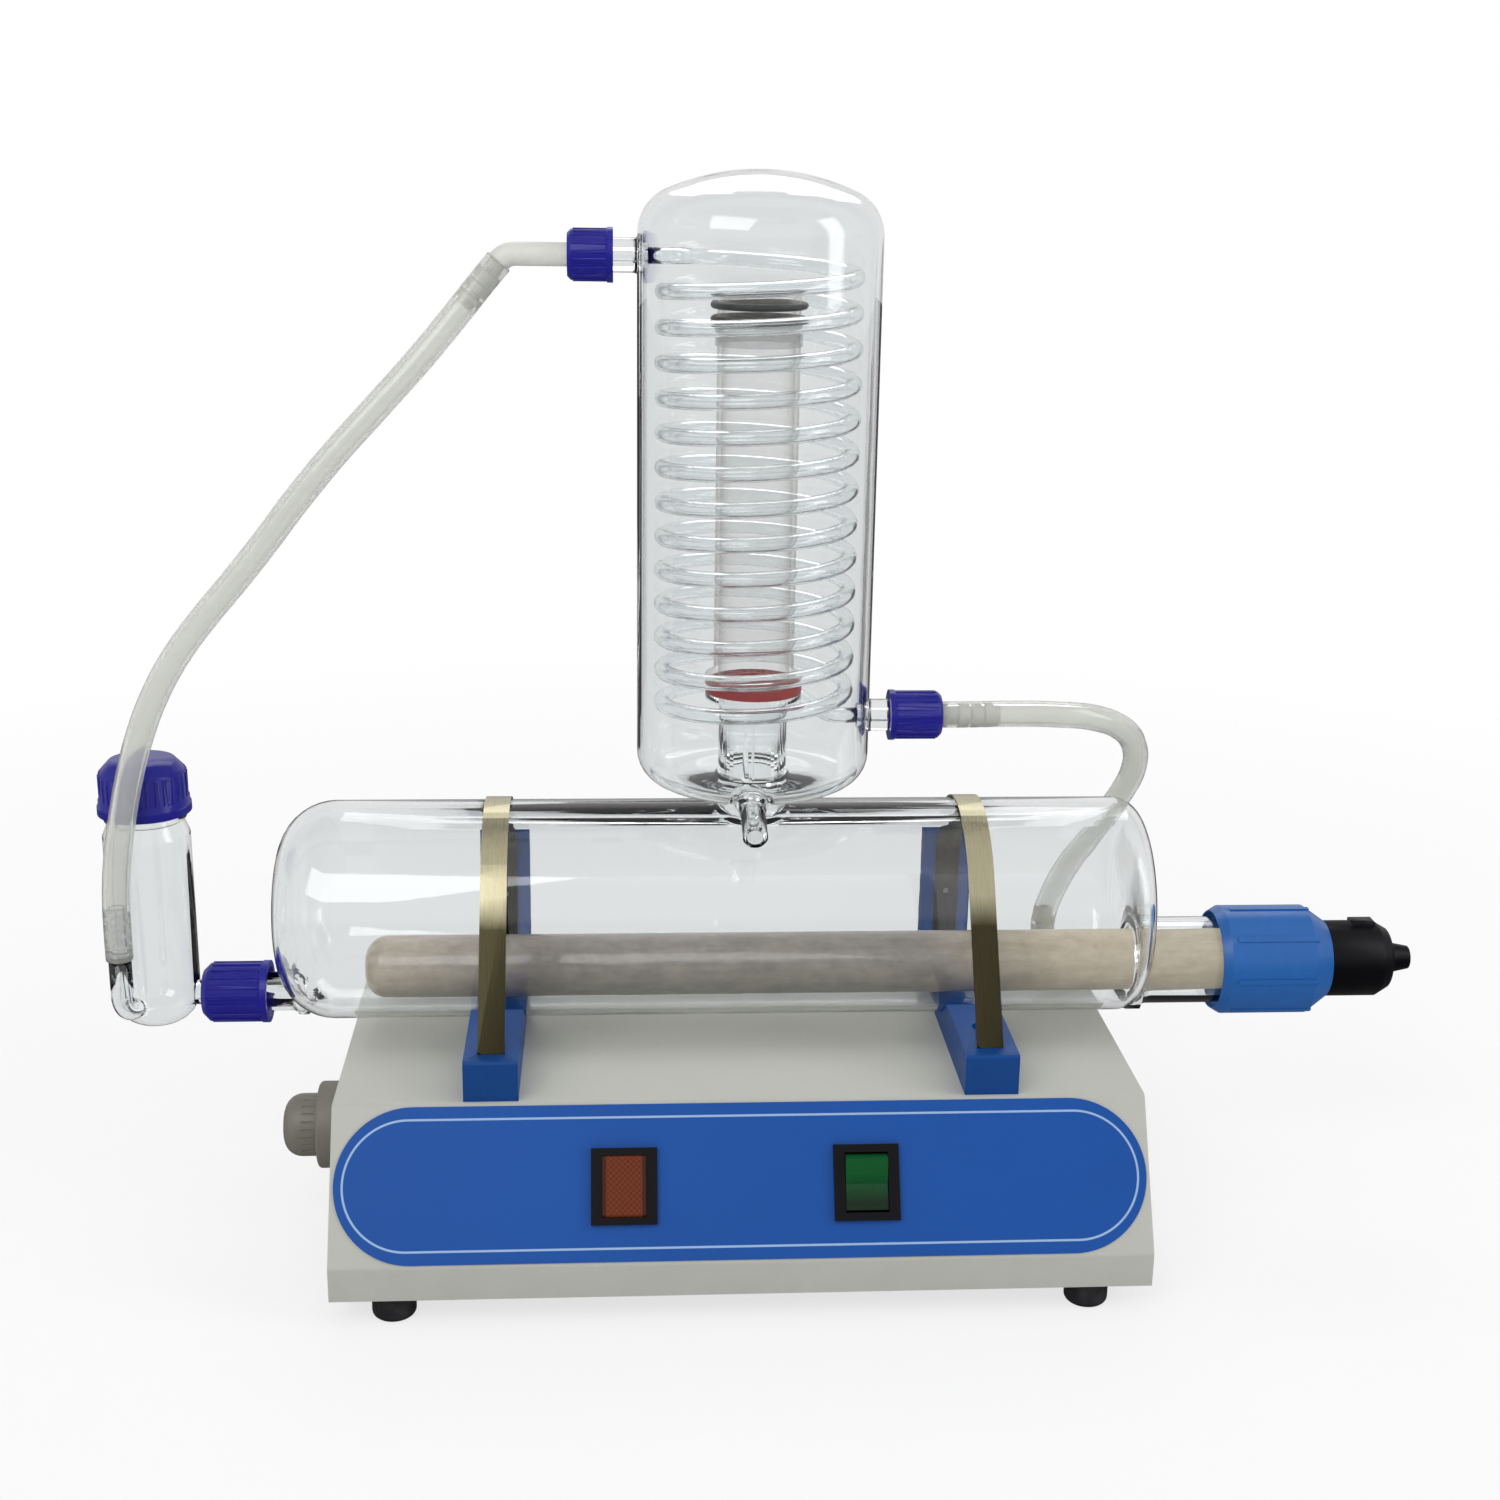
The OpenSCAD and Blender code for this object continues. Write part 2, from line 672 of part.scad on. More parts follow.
// Places a gland piece: its +Z points out of the left wall
module on_left_wall() {
    translate([-base_w / 2, -gland_front, gland_z]) rotate([0, -90, 0]) children();
}

module gland_body() {
    boss_end = gland_collar_l + gland_nut_l - 5;
    color("#8e8a80") placed() on_left_wall() difference() {
        union() {
            rotate_extrude() polygon(rounded([[0, 0, 0], [gland_collar_d / 2, 0, 0],
                [gland_collar_d / 2, gland_collar_l, 1.5], [0, gland_collar_l, 0]], 4));
            translate([0, 0, -sheet_t - 9]) cylinder(r = gland_shank_r, h = 10 + sheet_t + gland_collar_l);
            cylinder(r = gland_boss_r, h = boss_end);
        }
        translate([0, 0, -20]) cylinder(r = cord_d / 2 + 0.6, h = 60);
        translate([0, 0, gland_collar_l]) cylinder(r = gland_bore_r, h = gland_nut_l);
    }
}

module gland_seal() {
    color(black) placed() on_left_wall() translate([0, 0, gland_collar_l])
        ring(gland_bore_r - 0.05, cord_d / 2, gland_nut_l - 3.4);
}

// Domed nut with fine grooves round its end and ribs along its side
module gland_nut() {
    r = gland_nut_d / 2;
    color("#7c786f") placed() on_left_wall() translate([0, 0, gland_collar_l + face_gap]) difference() {
        rotate_extrude() polygon(rounded([[0, 0, 0], [r, 0, 0.5], [r, gland_nut_l, 8],
            [0, gland_nut_l, 0]], 8));
        translate([0, 0, -cut]) cylinder(r = gland_boss_r + thread_gap, h = gland_nut_l - 3 + cut);
        cylinder(r = cord_d / 2 + 1.6, h = gland_nut_l + cut);
        for (a = [0:15:345]) rotate(a)
            translate([r, 0, 1]) cylinder(r = 0.5, h = gland_nut_l - 10, $fn = 16);
    }
}

module gland_locknut() {
    color("#8e8a80") placed() on_left_wall() translate([0, 0, -sheet_t - 5]) difference() {
        cylinder(r = 15, h = 5, $fn = 6);
        translate([0, 0, -cut]) cylinder(r = gland_shank_r + 0.1, h = 5 + 2 * cut);
    }
}

// ---------- brackets and straps ----------

// Foot block, saddle and upright in one
module bracket(x) {
    back = upright_y + upright_t;
    color(blue) placed() translate([x, 0, base_top]) difference() {
        rotate([90, 0, 90]) translate([0, 0, -bracket_w / 2]) linear_extrude(bracket_w)
            polygon(rounded([[-bracket_front, 0, 0], [back, 0, 0], [back, upright_h, 2],
                [upright_y, upright_h, 2], [upright_y, bracket_h, 0], [-bracket_front, bracket_h, 1.5]], 4));
        translate([-bracket_w / 2 - cut, 0, boiler_z - base_top])
            along_x() cylinder(r = boiler_r + cradle_gap, h = bracket_w + 2 * cut);
        for (y = bracket_screw_ys) translate([0, y, -cut]) {
            cylinder(d = bracket_screw_d + 0.4, h = 40);
            translate([0, 0, cut + bracket_h - 5]) cylinder(d = 2 * bracket_screw_d + 0.6, h = 30);
        }
        translate([0, -strap_foot_y, bracket_h])
            block(strap_w + 2 * strap_slot_gap, strap_t + 2 * strap_slot_gap, -strap_tail - 1, 1);
        translate([0, upright_y - cut, strap_screw_z - base_top])
            rotate([-90, 0, 0]) cylinder(d = strap_screw_d + 0.2, h = upright_t + 2 * cut);
    }
}
module bracket_left() { bracket(-bracket_x); }
module bracket_right() { bracket(bracket_x); }

module bracket_screws() {
    color(steel) placed() for (x = [-bracket_x, bracket_x]) for (y = bracket_screw_ys)
        translate([x, y, block_top - 5]) {
            screw(bracket_screw_d, bracket_h + sheet_t + 1, 2.4);
            translate([0, 0, 5 - bracket_h - sheet_t - 3.2])
                cylinder(d = 1.75 * bracket_screw_d, h = 3.2, $fn = 6);
        }
}

// Middle line of a strap in (y, z): back leg, arc over the boiler, front leg,
// and the tail that stands in the bracket's slot
function strap_line() = concat([[strap_r, strap_back_z - boiler_z]],
    arc([0, 0], strap_r, 0, strap_leave, 30),
    [[-strap_foot_y, -strap_drop], [-strap_foot_y, -strap_drop - strap_tail]]);

// A strip of the strap's thickness along a line
function strip(p, t) = let(
    n = len(p),
    dirs = [for (i = [0:n - 1]) unit(i == 0 ? p[1] - p[0] : i == n - 1 ? p[n - 1] - p[n - 2]
        : unit(p[i] - p[i - 1]) + unit(p[i + 1] - p[i]))],
    side = function (i, s) let(
        k = i == 0 ? 1 : unit(p[i] - p[i - 1]) * dirs[i])
        p[i] + s * t / 2 / k * [-dirs[i].y, dirs[i].x])
    concat([for (i = [0:n - 1]) side(i, 1)], [for (i = [n - 1:-1:0]) side(i, -1)]);

module strap(x) {
    color(steel) placed() translate([x, 0, boiler_z]) difference() {
        rotate([90, 0, 90]) translate([0, 0, -strap_w / 2]) linear_extrude(strap_w)
            polygon(strip(strap_line(), strap_t));
        translate([0, strap_r - 3, strap_screw_z - boiler_z])
            rotate([-90, 0, 0]) cylinder(d = strap_screw_d + 0.2, h = 6);
    }
}
module strap_left() { strap(-bracket_x); }
module strap_right() { strap(bracket_x); }

module strap_screws() {
    color(steel) placed() for (x = [-bracket_x, bracket_x])
        translate([x, upright_y + upright_t, strap_screw_z])
            rotate([-90, 0, 0]) screw(strap_screw_d, upright_t + strap_t, 1.8);
}

// ---------- boiler ----------

// Solid of revolution of the boiler's body, drawn in by d
module boiler_body(d) {
    r = boiler_r - d;
    translate([-boiler_left + d, 0, boiler_z]) along_x()
        rotate_extrude() polygon(rounded([[0, 0, 0], [r, 0, left_round - d],
            [r, boiler_left + boiler_right - 2 * d, right_round - d],
            [0, boiler_left + boiler_right - 2 * d, 0]], 10));
}

// A straight port that flares where it leaves a wall
module flared(r, flare, flare_l, l) {
    rotate_extrude() polygon(concat([[0, 0], [r + flare, 0]],
        arc([r + flare, flare_l], flare, -90, -180, 6), [[r, l], [0, l]]));
}

module boiler_glass() {
    neck_start = boiler_right - 6;
    color(glass) placed() difference() {
        union() {
            boiler_body(0);
            // Heater neck, its flare kept inside the boiler's own outline
            intersection() {
                translate([neck_start, 0, heater_z]) along_x()
                    flared(heater_neck_r, 6, 12, heater_neck_end - neck_start);
                translate([neck_start - cut, 0, boiler_z]) along_x()
                    cylinder(r = boiler_r - 0.15, h = heater_neck_end);
            }
            intersection() {
                translate([-boiler_left + 12, 0, feed_z]) rotate([0, -90, 0])
                    flared(feed_port_r, 2.4, 8, feed_port_end - boiler_left + 12);
                translate([-feed_port_end - cut, 0, boiler_z]) along_x()
                    cylinder(r = boiler_r - 0.15, h = feed_port_end);
            }
            translate([condenser_x, 0, boiler_z + boiler_r - 4])
                flared(vapour_neck_r, 3, 5, jacket_bottom - boiler_z - boiler_r + 4);
        }
        boiler_body(glass_t);
        translate([boiler_right - 20, 0, heater_z]) along_x() cylinder(r = neck_bore_r, h = 100);
        translate([-boiler_left + 24, 0, feed_z]) rotate([0, -90, 0]) cylinder(r = feed_bore_r, h = 80);
        translate([condenser_x, 0, boiler_z + boiler_r - 20]) cylinder(r = vapour_bore_r, h = 60);
    }
}

// ---------- heater ----------

// Places a heater piece: its +Z runs to the right from the sheath's left end
module on_heater() {
    translate([-sheath_left, 0, heater_z]) along_x() children();
}

module heater_sheath() {
    inner = sheath_r - sheath_t;
    color([0.9, 0.9, 0.86, 0.5]) placed() on_heater() difference() {
        union() {
            rotate_extrude() polygon(rounded([[0, 0, 0], [sheath_r, 0, 10],
                [sheath_r, sheath_end, 0], [0, sheath_end, 0]], 8));
            translate([0, 0, head_z + seal_t]) cylinder(r = heater_neck_r, h = head_flange_t);
        }
        translate([0, 0, sheath_t]) rotate_extrude() polygon(rounded([[0, 0, 0], [inner, 0, 8.4],
            [inner, sheath_end, 0], [0, sheath_end, 0]], 8));
    }
}

module heater_core() {
    color("#d8d0bc") placed() on_heater() {
        translate([0, 0, 8]) cylinder(r = sheath_r - sheath_t - 0.4, h = heated_start - 8);
        translate([0, 0, heated_start]) cylinder(r = sheath_r - sheath_t - 4, h = heated_l);
        translate([0, 0, head_z - 70]) cylinder(r = sheath_r - sheath_t - 0.4, h = 66);
    }
}

module heater_winding() {
    color("#6e6252") placed() on_heater() translate([0, 0, heated_start])
        ring(sheath_r - sheath_t - 1, sheath_r - sheath_t - 4, heated_l);
}

module heater_seal() {
    color(black) placed() on_heater() translate([0, 0, head_z])
        ring(heater_neck_r - 0.2, sheath_r + 0.1, seal_t);
}

module heater_union_nut() {
    bore = heater_neck_r + thread_gap;
    start = sheath_left + union_left;
    color(nut_blue) placed() on_heater() difference() {
        union() {
            translate([0, 0, start]) rotate_extrude() polygon([[0, 0], [union_r - 3, 0], [union_r - 0.6, 4],
                [union_r - 0.6, union_l - 10], [union_r - 7.7, union_l], [0, union_l]]);
            intersection() {
                translate([0, 0, start + 7]) for (a = [3:45:318]) rotate(a)
                    translate([union_r - 3, -1.2, 0]) cube([3, 2.4, union_l - 16]);
                translate([0, 0, start]) cylinder(r = union_r, h = union_l);
            }
        }
        translate([0, 0, start - cut]) cylinder(r = bore, h = union_wall_z - start + cut);
        translate([0, 0, start - cut]) cylinder(r = bore + 2, h = 5 + cut);
        translate([0, 0, start]) cylinder(r = sheath_r + 0.5, h = union_l + cut);
    }
}

module heater_terminal_cap() {
    r = terminal_cap_r;
    outlet_l = 10.5;
    color(black) placed() on_heater() translate([0, 0, cap_start]) {
        difference() {
            union() {
                rotate_extrude() polygon([[0, 0], [r, 0], [r, terminal_cap_l - 7],
                    [r - 3.5, terminal_cap_l - 1], [r - 8, terminal_cap_l],
                    [lead_d / 2 + 3.7, terminal_cap_l + 2],
                    [lead_d / 2 + 2, terminal_cap_l + outlet_l], [0, terminal_cap_l + outlet_l]]);
                // Raised tab on top, seen in outline
                translate([-r - 1.3, -4, 12]) cube([4, 8, 11]);
            }
            translate([0, 0, -cut]) cylinder(r = sheath_r + 0.1, h = 11 + cut);
            translate([0, 0, 11]) cylinder(r = r - 5, h = terminal_cap_l - 15);
            cylinder(d = lead_d, h = terminal_cap_l + outlet_l + cut);
        }
    }
}

module heater_terminals() {
    r = sheath_r - sheath_t - 0.4;
    color("#c9a44a") placed() on_heater() {
        translate([0, 0, sheath_end - 4]) cylinder(r = r, h = 4);
        for (y = [-6, 6]) translate([0, y, sheath_end]) cylinder(r = 2, h = 10, $fn = 32);
        for (y = [-6, 6]) translate([0, y, head_z - 4]) cylinder(r = 1.2, h = sheath_end - head_z, $fn = 24);
    }
}

// ---------- condenser ----------

// Outline of the jacket in (r, z), drawn in by d
function jacket_outline(d) = concat([[0, jacket_bottom + d]],
    arc([jacket_r - jacket_round, jacket_bottom + jacket_round], jacket_round - d, -90, 0, 8),
    arc([knuckle_off, knuckle_z], knuckle_r - d, 0, knuckle_angle, 8),
    // The crown's arc stops short of the axis and ends in a small flat disc
    [for (i = [1:11]) let(a = knuckle_angle + (90 - knuckle_angle) * i / 12)
        [(crown_r - d) * cos(a), crown_z + (crown_r - d) * sin(a)]],
    [[0, crown_z + (crown_r - d) * sin(90 - (90 - knuckle_angle) / 12)]]);

module on_condenser() {
    translate([condenser_x, 0, 0]) children();
}

// Runs a piece along the spout's line: +Z points out of the spout
module on_spout() {
    translate([condenser_x - 3, -spout_front, spout_z]) rotate([90 + spout_fall, 0, 0]) children();
}

module condenser_jacket() {
    color(glass) placed() difference() {
        union() {
            difference() {
                union() {
                    on_condenser() rotate_extrude() polygon(jacket_outline(0));
                    on_condenser() translate([-jacket_r + 4, 0, upper_port_z]) rotate([0, -90, 0])
                        flared(port_r, 4, 6, port_out_upper + 4);
                    on_condenser() translate([jacket_r - 4, 0, lower_port_z]) along_x()
                        flared(port_r, 4, 6, port_out_lower + 4);
                    on_spout() translate([0, 0, -spout_l]) cylinder(r = spout_r, h = spout_l);
                    // The spout's root widens where it is fused on
                    on_spout() translate([0, 0, -spout_back])
                        cylinder(r1 = spout_r + 4, r2 = spout_r, h = spout_back - spout_l);
                }
                on_condenser() rotate_extrude() polygon(jacket_outline(glass_t));
            }
            // Vapour neck with its flange
            on_condenser() rotate_extrude() polygon([[vapour_bore_r - 1, jacket_bottom],
                [vapour_neck_r + 3, jacket_bottom + glass_t / 2],
                [vapour_neck_r, jacket_bottom + glass_t + 3], [vapour_neck_r, neck_flange_z - flange_t],
                [flange_r, neck_flange_z - flange_t + 0.6], [flange_r, neck_flange_z],
                [vapour_bore_r - 1, neck_flange_z]]);
            // Bosses inside the ports, where the coil's ends are fused on
            on_condenser() for (s = [-1, 1])
                translate([s * boss_face, 0, s < 0 ? upper_port_z : lower_port_z])
                    rotate([0, s * 90, 0]) cylinder(r = boss_r, h = jacket_r - boss_face - 1);
        }
        on_condenser() translate([0, 0, jacket_bottom - cut]) cylinder(r = vapour_bore_r, h = 60);
        on_condenser() translate([-boss_face + cut, 0, upper_port_z])
            rotate([0, -90, 0]) cylinder(r = port_bore_r, h = 50, $fn = 48);
        on_condenser() translate([boss_face - cut, 0, lower_port_z])
            along_x() cylinder(r = port_bore_r, h = 50, $fn = 48);
        on_spout() translate([0, 0, -spout_back - 3]) cylinder(r = spout_r - 1.8, h = spout_back + 6);
    }
}

// The coil's helix falls clockwise from above, from over the upper port's side
// to under the lower port's; its ends bend out to the ports on smooth curves
function helix_point(t) = let(
    a = 180 - coil_blend_turn * 360 - t * (coil_turns - 0.5 - 2 * coil_blend_turn) * 360)
    [coil_r * cos(a), coil_r * sin(a), coil_top_z + (coil_bottom_z - coil_top_z) * t];
function helix_dir(t) = unit(helix_point(t + 0.0005) - helix_point(t - 0.0005));
function bezier(a, b, c, d, t) =
    pow(1 - t, 3) * a + 3 * t * pow(1 - t, 2) * b + 3 * t * t * (1 - t) * c + t * t * t * d;
coil_end_run = coil_tube_d;
coil_n = floor((coil_turns - 0.5 - 2 * coil_blend_turn) * coil_rings);
coil_in = [-boss_face, 0, upper_port_z];
coil_in_bend = coil_in + [coil_end_run, 0, 0];
coil_out = [boss_face, 0, lower_port_z];
coil_out_bend = coil_out - [coil_end_run, 0, 0];
coil_path = concat([coil_in, coil_in_bend],
    [for (i = [1:10]) bezier(coil_in_bend, coil_in_bend + [15, 0, 0],
        helix_point(0) - 26 * helix_dir(0), helix_point(0), i / 10)],
    [for (i = [1:coil_n - 1]) helix_point(i / coil_n)],
    [for (i = [0:9]) bezier(helix_point(1), helix_point(1) + 26 * helix_dir(1),
        coil_out_bend - [15, 0, 0], coil_out_bend, i / 10)],
    [coil_out_bend, coil_out]);
// Least gap of the tube to itself, more than half a turn along
coil_gap = min([for (i = [0:3:len(coil_path) - 14]) min([for (j = [i + 13:1:len(coil_path) - 1])
    norm(coil_path[i] - coil_path[j])])]) - coil_tube_d;
echo(coil_gap = coil_gap);

module condenser_coil() {
    color(glass) placed() on_condenser()
        swept_tube(coil_path, coil_tube_d / 2, 6, [0, 0, 1], [1, 0, 0], [1, 0, 0]);
}

module chimney_tube() {
    bore = chimney_r - chimney_t;
    h = chimney_top - chimney_z;
    color(glass) placed() on_condenser() translate([0, 0, chimney_z])
        rotate_extrude() polygon([[bore, 0], [flange_r, 0], [flange_r, flange_t - 0.6],
            [chimney_r, flange_t + 1], [chimney_r, h - 1], [chimney_r - 0.6, h], [bore, h]]);
}

module chimney_ring() {
    ring_r = 1.5;
    color(black) placed() on_condenser() for (z = [chimney_top - 5, chimney_top - 11])
        translate([0, 0, z]) rotate_extrude()
            translate([chimney_r + ring_r + 0.02, 0]) circle(r = ring_r, $fn = 24);
}

module chimney_sleeve() {
    color("#9aa2a4") placed() on_condenser() translate([0, 0, chimney_top - 22])
        ring(chimney_r + 1, chimney_r + 0.05, 9);
}

module neck_seal() {
    color(seal_red) placed() on_condenser() translate([0, 0, neck_flange_z])
        ring(flange_r, vapour_bore_r + 0.5, neck_seal_t);
}

// ---------- hose fittings ----------

// Places a fitting: +Z runs outwards along the port from the jacket's wall
module on_upper_port() {
    translate([condenser_x - jacket_r, 0, upper_port_z]) rotate([0, -90, 0]) children();
}
module on_lower_port() {
    translate([condenser_x + jacket_r, 0, lower_port_z]) rotate([0, 90, 0]) children();
}

// A screw cap whose floor is at its outer end, with ribs and a rim
module port_cap(end, l) {
    body = port_cap_r - 0.9;
    translate([0, 0, end - l]) difference() {
        union() {
            rotate_extrude() polygon([[0, 0], [port_cap_r, 0], [port_cap_r, 2.4], [body, 3.2],
                [body, l - 1.6], [body - 1.6, l], [0, l]]);
            for (a = [0:20:340]) rotate(a) translate([body - 0.5, -0.6, 2.6]) cube([0.95, 1.2, l - 5]);
        }
        translate([0, 0, -cut]) cylinder(r = port_r + thread_gap, h = l - cap_floor + cut);
        cylinder(r = nozzle_r + 0.5 + thread_gap, h = l + cut);
    }
}

module upper_hose_cap() {
    color(cap_blue) placed() on_upper_port() port_cap(upper_cap_end, upper_cap_l);
}

module lower_hose_cap() {
    color(cap_blue) placed() on_lower_port() port_cap(lower_cap_end, lower_cap_l);
}

// Nozzle flange that the cap presses on its seal
module nozzle_flange(end) {
    translate([0, 0, end - cap_floor - face_gap - nozzle_flange_t])
        cylinder(r = port_r - 0.3, h = nozzle_flange_t);
}

// Three barbs on a tail that starts at z = 0
module barbs(r, n, pitch) {
    for (i = [0:n - 1]) translate([0, 0, i * pitch])
        rotate_extrude() polygon([[0, 0], [r + barb_rise, 0], [r, pitch - 0.6], [0, pitch - 0.6]]);
}

module upper_hose_nozzle() {
    base = upper_cap_end - cap_floor - face_gap - nozzle_flange_t;
    run = upper_cap_end + elbow_out;
    shank_r = nozzle_r + 0.4;
    color(hose_white) placed() on_upper_port() {
        difference() {
            union() {
                nozzle_flange(upper_cap_end);
                translate([0, 0, base]) cylinder(r = shank_r, h = run - base);
            }
            translate([0, 0, base - cut]) cylinder(r = nozzle_bore_r, h = run - base + 2 * cut);
        }
        translate([0, 0, run]) elbow() {
            difference() {
                circle(r = shank_r);
                circle(r = nozzle_bore_r);
            }
            difference() {
                union() {
                    cylinder(r = nozzle_r - 0.7, h = barb_l);
                    translate([0, 0, barb_l - 18]) barbs(nozzle_r - 0.7, 3, 6);
                }
                translate([0, 0, -cut]) cylinder(r = tail_bore_r, h = barb_l + 2 * cut);
            }
        }
    }
}

// Bends children(0), a section, down by the elbow's angle and carries
// children(1) on at its end; the start runs along +Z
module elbow() {
    translate([-elbow_r, 0, 0]) {
        rotate([90, 0, 0]) rotate_extrude(angle = elbow_angle) translate([elbow_r, 0]) children(0);
        rotate([0, -elbow_angle, 0]) translate([elbow_r, 0, 0]) children(1);
    }
}

module lower_hose_nozzle() {
    base = lower_cap_end - cap_floor - face_gap - nozzle_flange_t;
    tail = lower_cap_end + 3;
    color("#cfc9b4") placed() on_lower_port() difference() {
        union() {
            nozzle_flange(lower_cap_end);
            translate([0, 0, base]) cylinder(r = nozzle_r + 0.4, h = tail - base);
            translate([0, 0, tail]) cylinder(r = nozzle_r - 0.7, h = 24);
            translate([0, 0, tail + 5]) barbs(nozzle_r - 0.7, 3, 6);
        }
        translate([0, 0, base - cut]) cylinder(r = nozzle_bore_r, h = 60);
    }
}

module port_seals() {
    color(seal_red) placed() {
        on_upper_port() translate([0, 0, port_out_upper]) port_seal(upper_cap_end - port_out_upper);
        on_lower_port() translate([0, 0, port_out_lower]) port_seal(lower_cap_end - port_out_lower);
    }
}
module port_seal(room) {
    ring(port_r - 0.3, nozzle_bore_r, room - cap_floor - face_gap - nozzle_flange_t);
}

// ---------- levelling bottle ----------

module on_bottle() {
    translate([-bottle_x, 0, 0]) children();
}

// Outline of the bottle in (r, z) from its bottom, drawn in by d
function bottle_outline(d) = let(
    r = bottle_r - d,
    neck = bottle_thread_r - d - (d > 0 ? 0.6 : 0),
    h = bottle_mouth - bottle_bottom)
    rounded([[0, d, 0], [r, d, 14 - d], [r, h - 29, 4], [neck + 0.6, h - 22, 2],
        [neck, h - 19, 0], [neck, h + (d > 0 ? cut : 0), 0], [0, h + (d > 0 ? cut : 0), 0]], 7);

// The tube from the bottle's wall out and up to the feed hose, r thick
module side_tube(r, top) {
    rotate(side_tube_turn) {
        translate([bottle_r - 5, 0, side_tube_z]) rotate([0, 90, 0])
            cylinder(r = r, h = side_tube_out - side_bend_r - bottle_r + 5);
        translate([side_tube_out - side_bend_r, 0, side_tube_z + side_bend_r])
            rotate([90, 0, 0]) rotate([0, 0, -90]) rotate_extrude(angle = 90)
                translate([side_bend_r, 0]) circle(r = r);
        translate([side_tube_out, 0, side_tube_z + side_bend_r])
            cylinder(r = r, h = top - side_tube_z - side_bend_r);
    }
}

module levelling_bottle() {
    arm_end = bottle_x - feed_port_end + 12;
    color(glass) placed() on_bottle() difference() {
        union() {
            translate([0, 0, bottle_bottom]) rotate_extrude() polygon(bottle_outline(0));
            translate([0, 0, cap_z - 4]) rotate_extrude()
                polygon(rounded([[bottle_thread_r - 1, 0, 0], [bottle_thread_r + 2.2, 0, 1.2],
                    [bottle_thread_r + 2.2, 3, 1.2], [bottle_thread_r - 1, 3, 0]], 4));
            translate([0, 0, feed_z]) along_x() cylinder(r = side_arm_r, h = arm_end);
            side_tube(side_tube_r, side_barb_z);
            rotate(side_tube_turn) translate([side_tube_out, 0, side_barb_z - 1]) {
                cylinder(r = side_tube_r - 1, h = side_tube_top - side_barb_z + 1);
                translate([0, 0, side_tube_top - side_barb_z - 18]) barbs(side_tube_r - 1, 3, 6);
            }
        }
        translate([0, 0, bottle_bottom]) rotate_extrude() polygon(bottle_outline(bottle_t));
        translate([0, 0, feed_z]) along_x() cylinder(r = side_arm_r - 1.6, h = arm_end + cut);
        side_tube(side_tube_r - 2, side_tube_top + cut);
    }
}

// Ribbed screw cap with a rim at its foot and a bevelled top
module bottle_cap() {
    body = bottle_cap_r - 0.5;
    color(cap_blue) placed() on_bottle() translate([0, 0, cap_z]) difference() {
        union() {
            rotate_extrude() polygon([[0, 0], [bottle_cap_r + 1.15, 0], [bottle_cap_r + 1.15, 3.4],
                [bottle_cap_r + 0.5, 3.8], [bottle_cap_r + 0.5, 6.4], [body, 7],
                [body, bottle_cap_h - 5], [body - 4.5, bottle_cap_h], [0, bottle_cap_h]]);
            for (a = [0:12:348]) rotate(a)
                translate([body - 0.6, -0.7, 3]) cube([1.1, 1.4, bottle_cap_h - 9]);
        }
        translate([0, 0, -cut]) cylinder(r = bottle_thread_r + thread_gap, h = bottle_cap_h - 2.8 + cut);
    }
}

module cap_liner() {
    floor_z = cap_z + bottle_cap_h - 2.8 - face_gap;
    color("#d9d9d2") placed() on_bottle() translate([0, 0, bottle_mouth])
        cylinder(r = bottle_thread_r - 0.1, h = floor_z - bottle_mouth);
}

// Places a coupling piece: +Z runs to the left from the feed port's mouth
module on_feed_port() {
    translate([-feed_port_end, 0, feed_z]) rotate([0, -90, 0]) children();
}

module coupling_nut() {
    floor_t = 2.2;
    left = coupling_seal_t + face_gap + floor_t;
    body = coupling_r - 1;
    color(cap_blue) placed() on_feed_port() translate([0, 0, left - coupling_l]) difference() {
        union() {
            rotate_extrude() polygon([[0, 0], [coupling_r, 0], [coupling_r, 3], [body, 4],
                [body, coupling_l - 3], [body - 3, coupling_l], [0, coupling_l]]);
            for (a = [0:20:340]) rotate(a) translate([body - 0.6, -0.7, 3]) cube([1.2, 1.4, coupling_l - 7]);
        }
        translate([0, 0, -cut]) cylinder(r = feed_port_r + thread_gap, h = coupling_l - floor_t + cut);
        translate([0, 0, -cut]) cylinder(r1 = feed_port_r + 3.2, r2 = feed_port_r + thread_gap, h = 7);
        cylinder(r = side_arm_r + 0.5, h = coupling_l + cut);
    }
}

module coupling_seal() {
    color(seal_red) placed() on_feed_port() ring(feed_port_r - 0.2, side_arm_r + 0.1, coupling_seal_t);
}

// ---------- water fittings ----------

// A hose tail that stands on a wall at z = 0, its shank going in below
module hose_tail(reach, shank) {
    difference() {
        union() {
            cylinder(r = 8, h = 4, $fn = 6);
            cylinder(r = tail_r + barb_rise, h = reach - 14);
            cylinder(r = tail_r, h = reach);
            translate([0, 0, reach - 14]) barbs(tail_r, 2, 6);
            translate([0, 0, -shank]) cylinder(r = fitting_shank_r, h = shank + 1);
        }
        translate([0, 0, -shank - cut]) cylinder(r = fitting_bore_r, h = reach + shank + 2 * cut);
    }
}

module water_outlet() {
    color("#cfc9b4") placed() translate([outlet_pos.x, outlet_pos.y, base_top]) hose_tail(24, 12);
}

module outlet_locknut() {
    color("#b58d3c") placed() translate([outlet_pos.x, outlet_pos.y, base_top - sheet_t - 3])
        difference() {
            cylinder(r = 8, h = 3, $fn = 6);
            translate([0, 0, -cut]) cylinder(r = fitting_shank_r + 0.1, h = 3 + 2 * cut);
        }
}

module water_inlet() {
    color("#b58d3c") placed() translate([inlet_x, base_back, inlet_z]) rotate([-90, 0, 0])
        hose_tail(inlet_reach, sheet_t + 4);
}

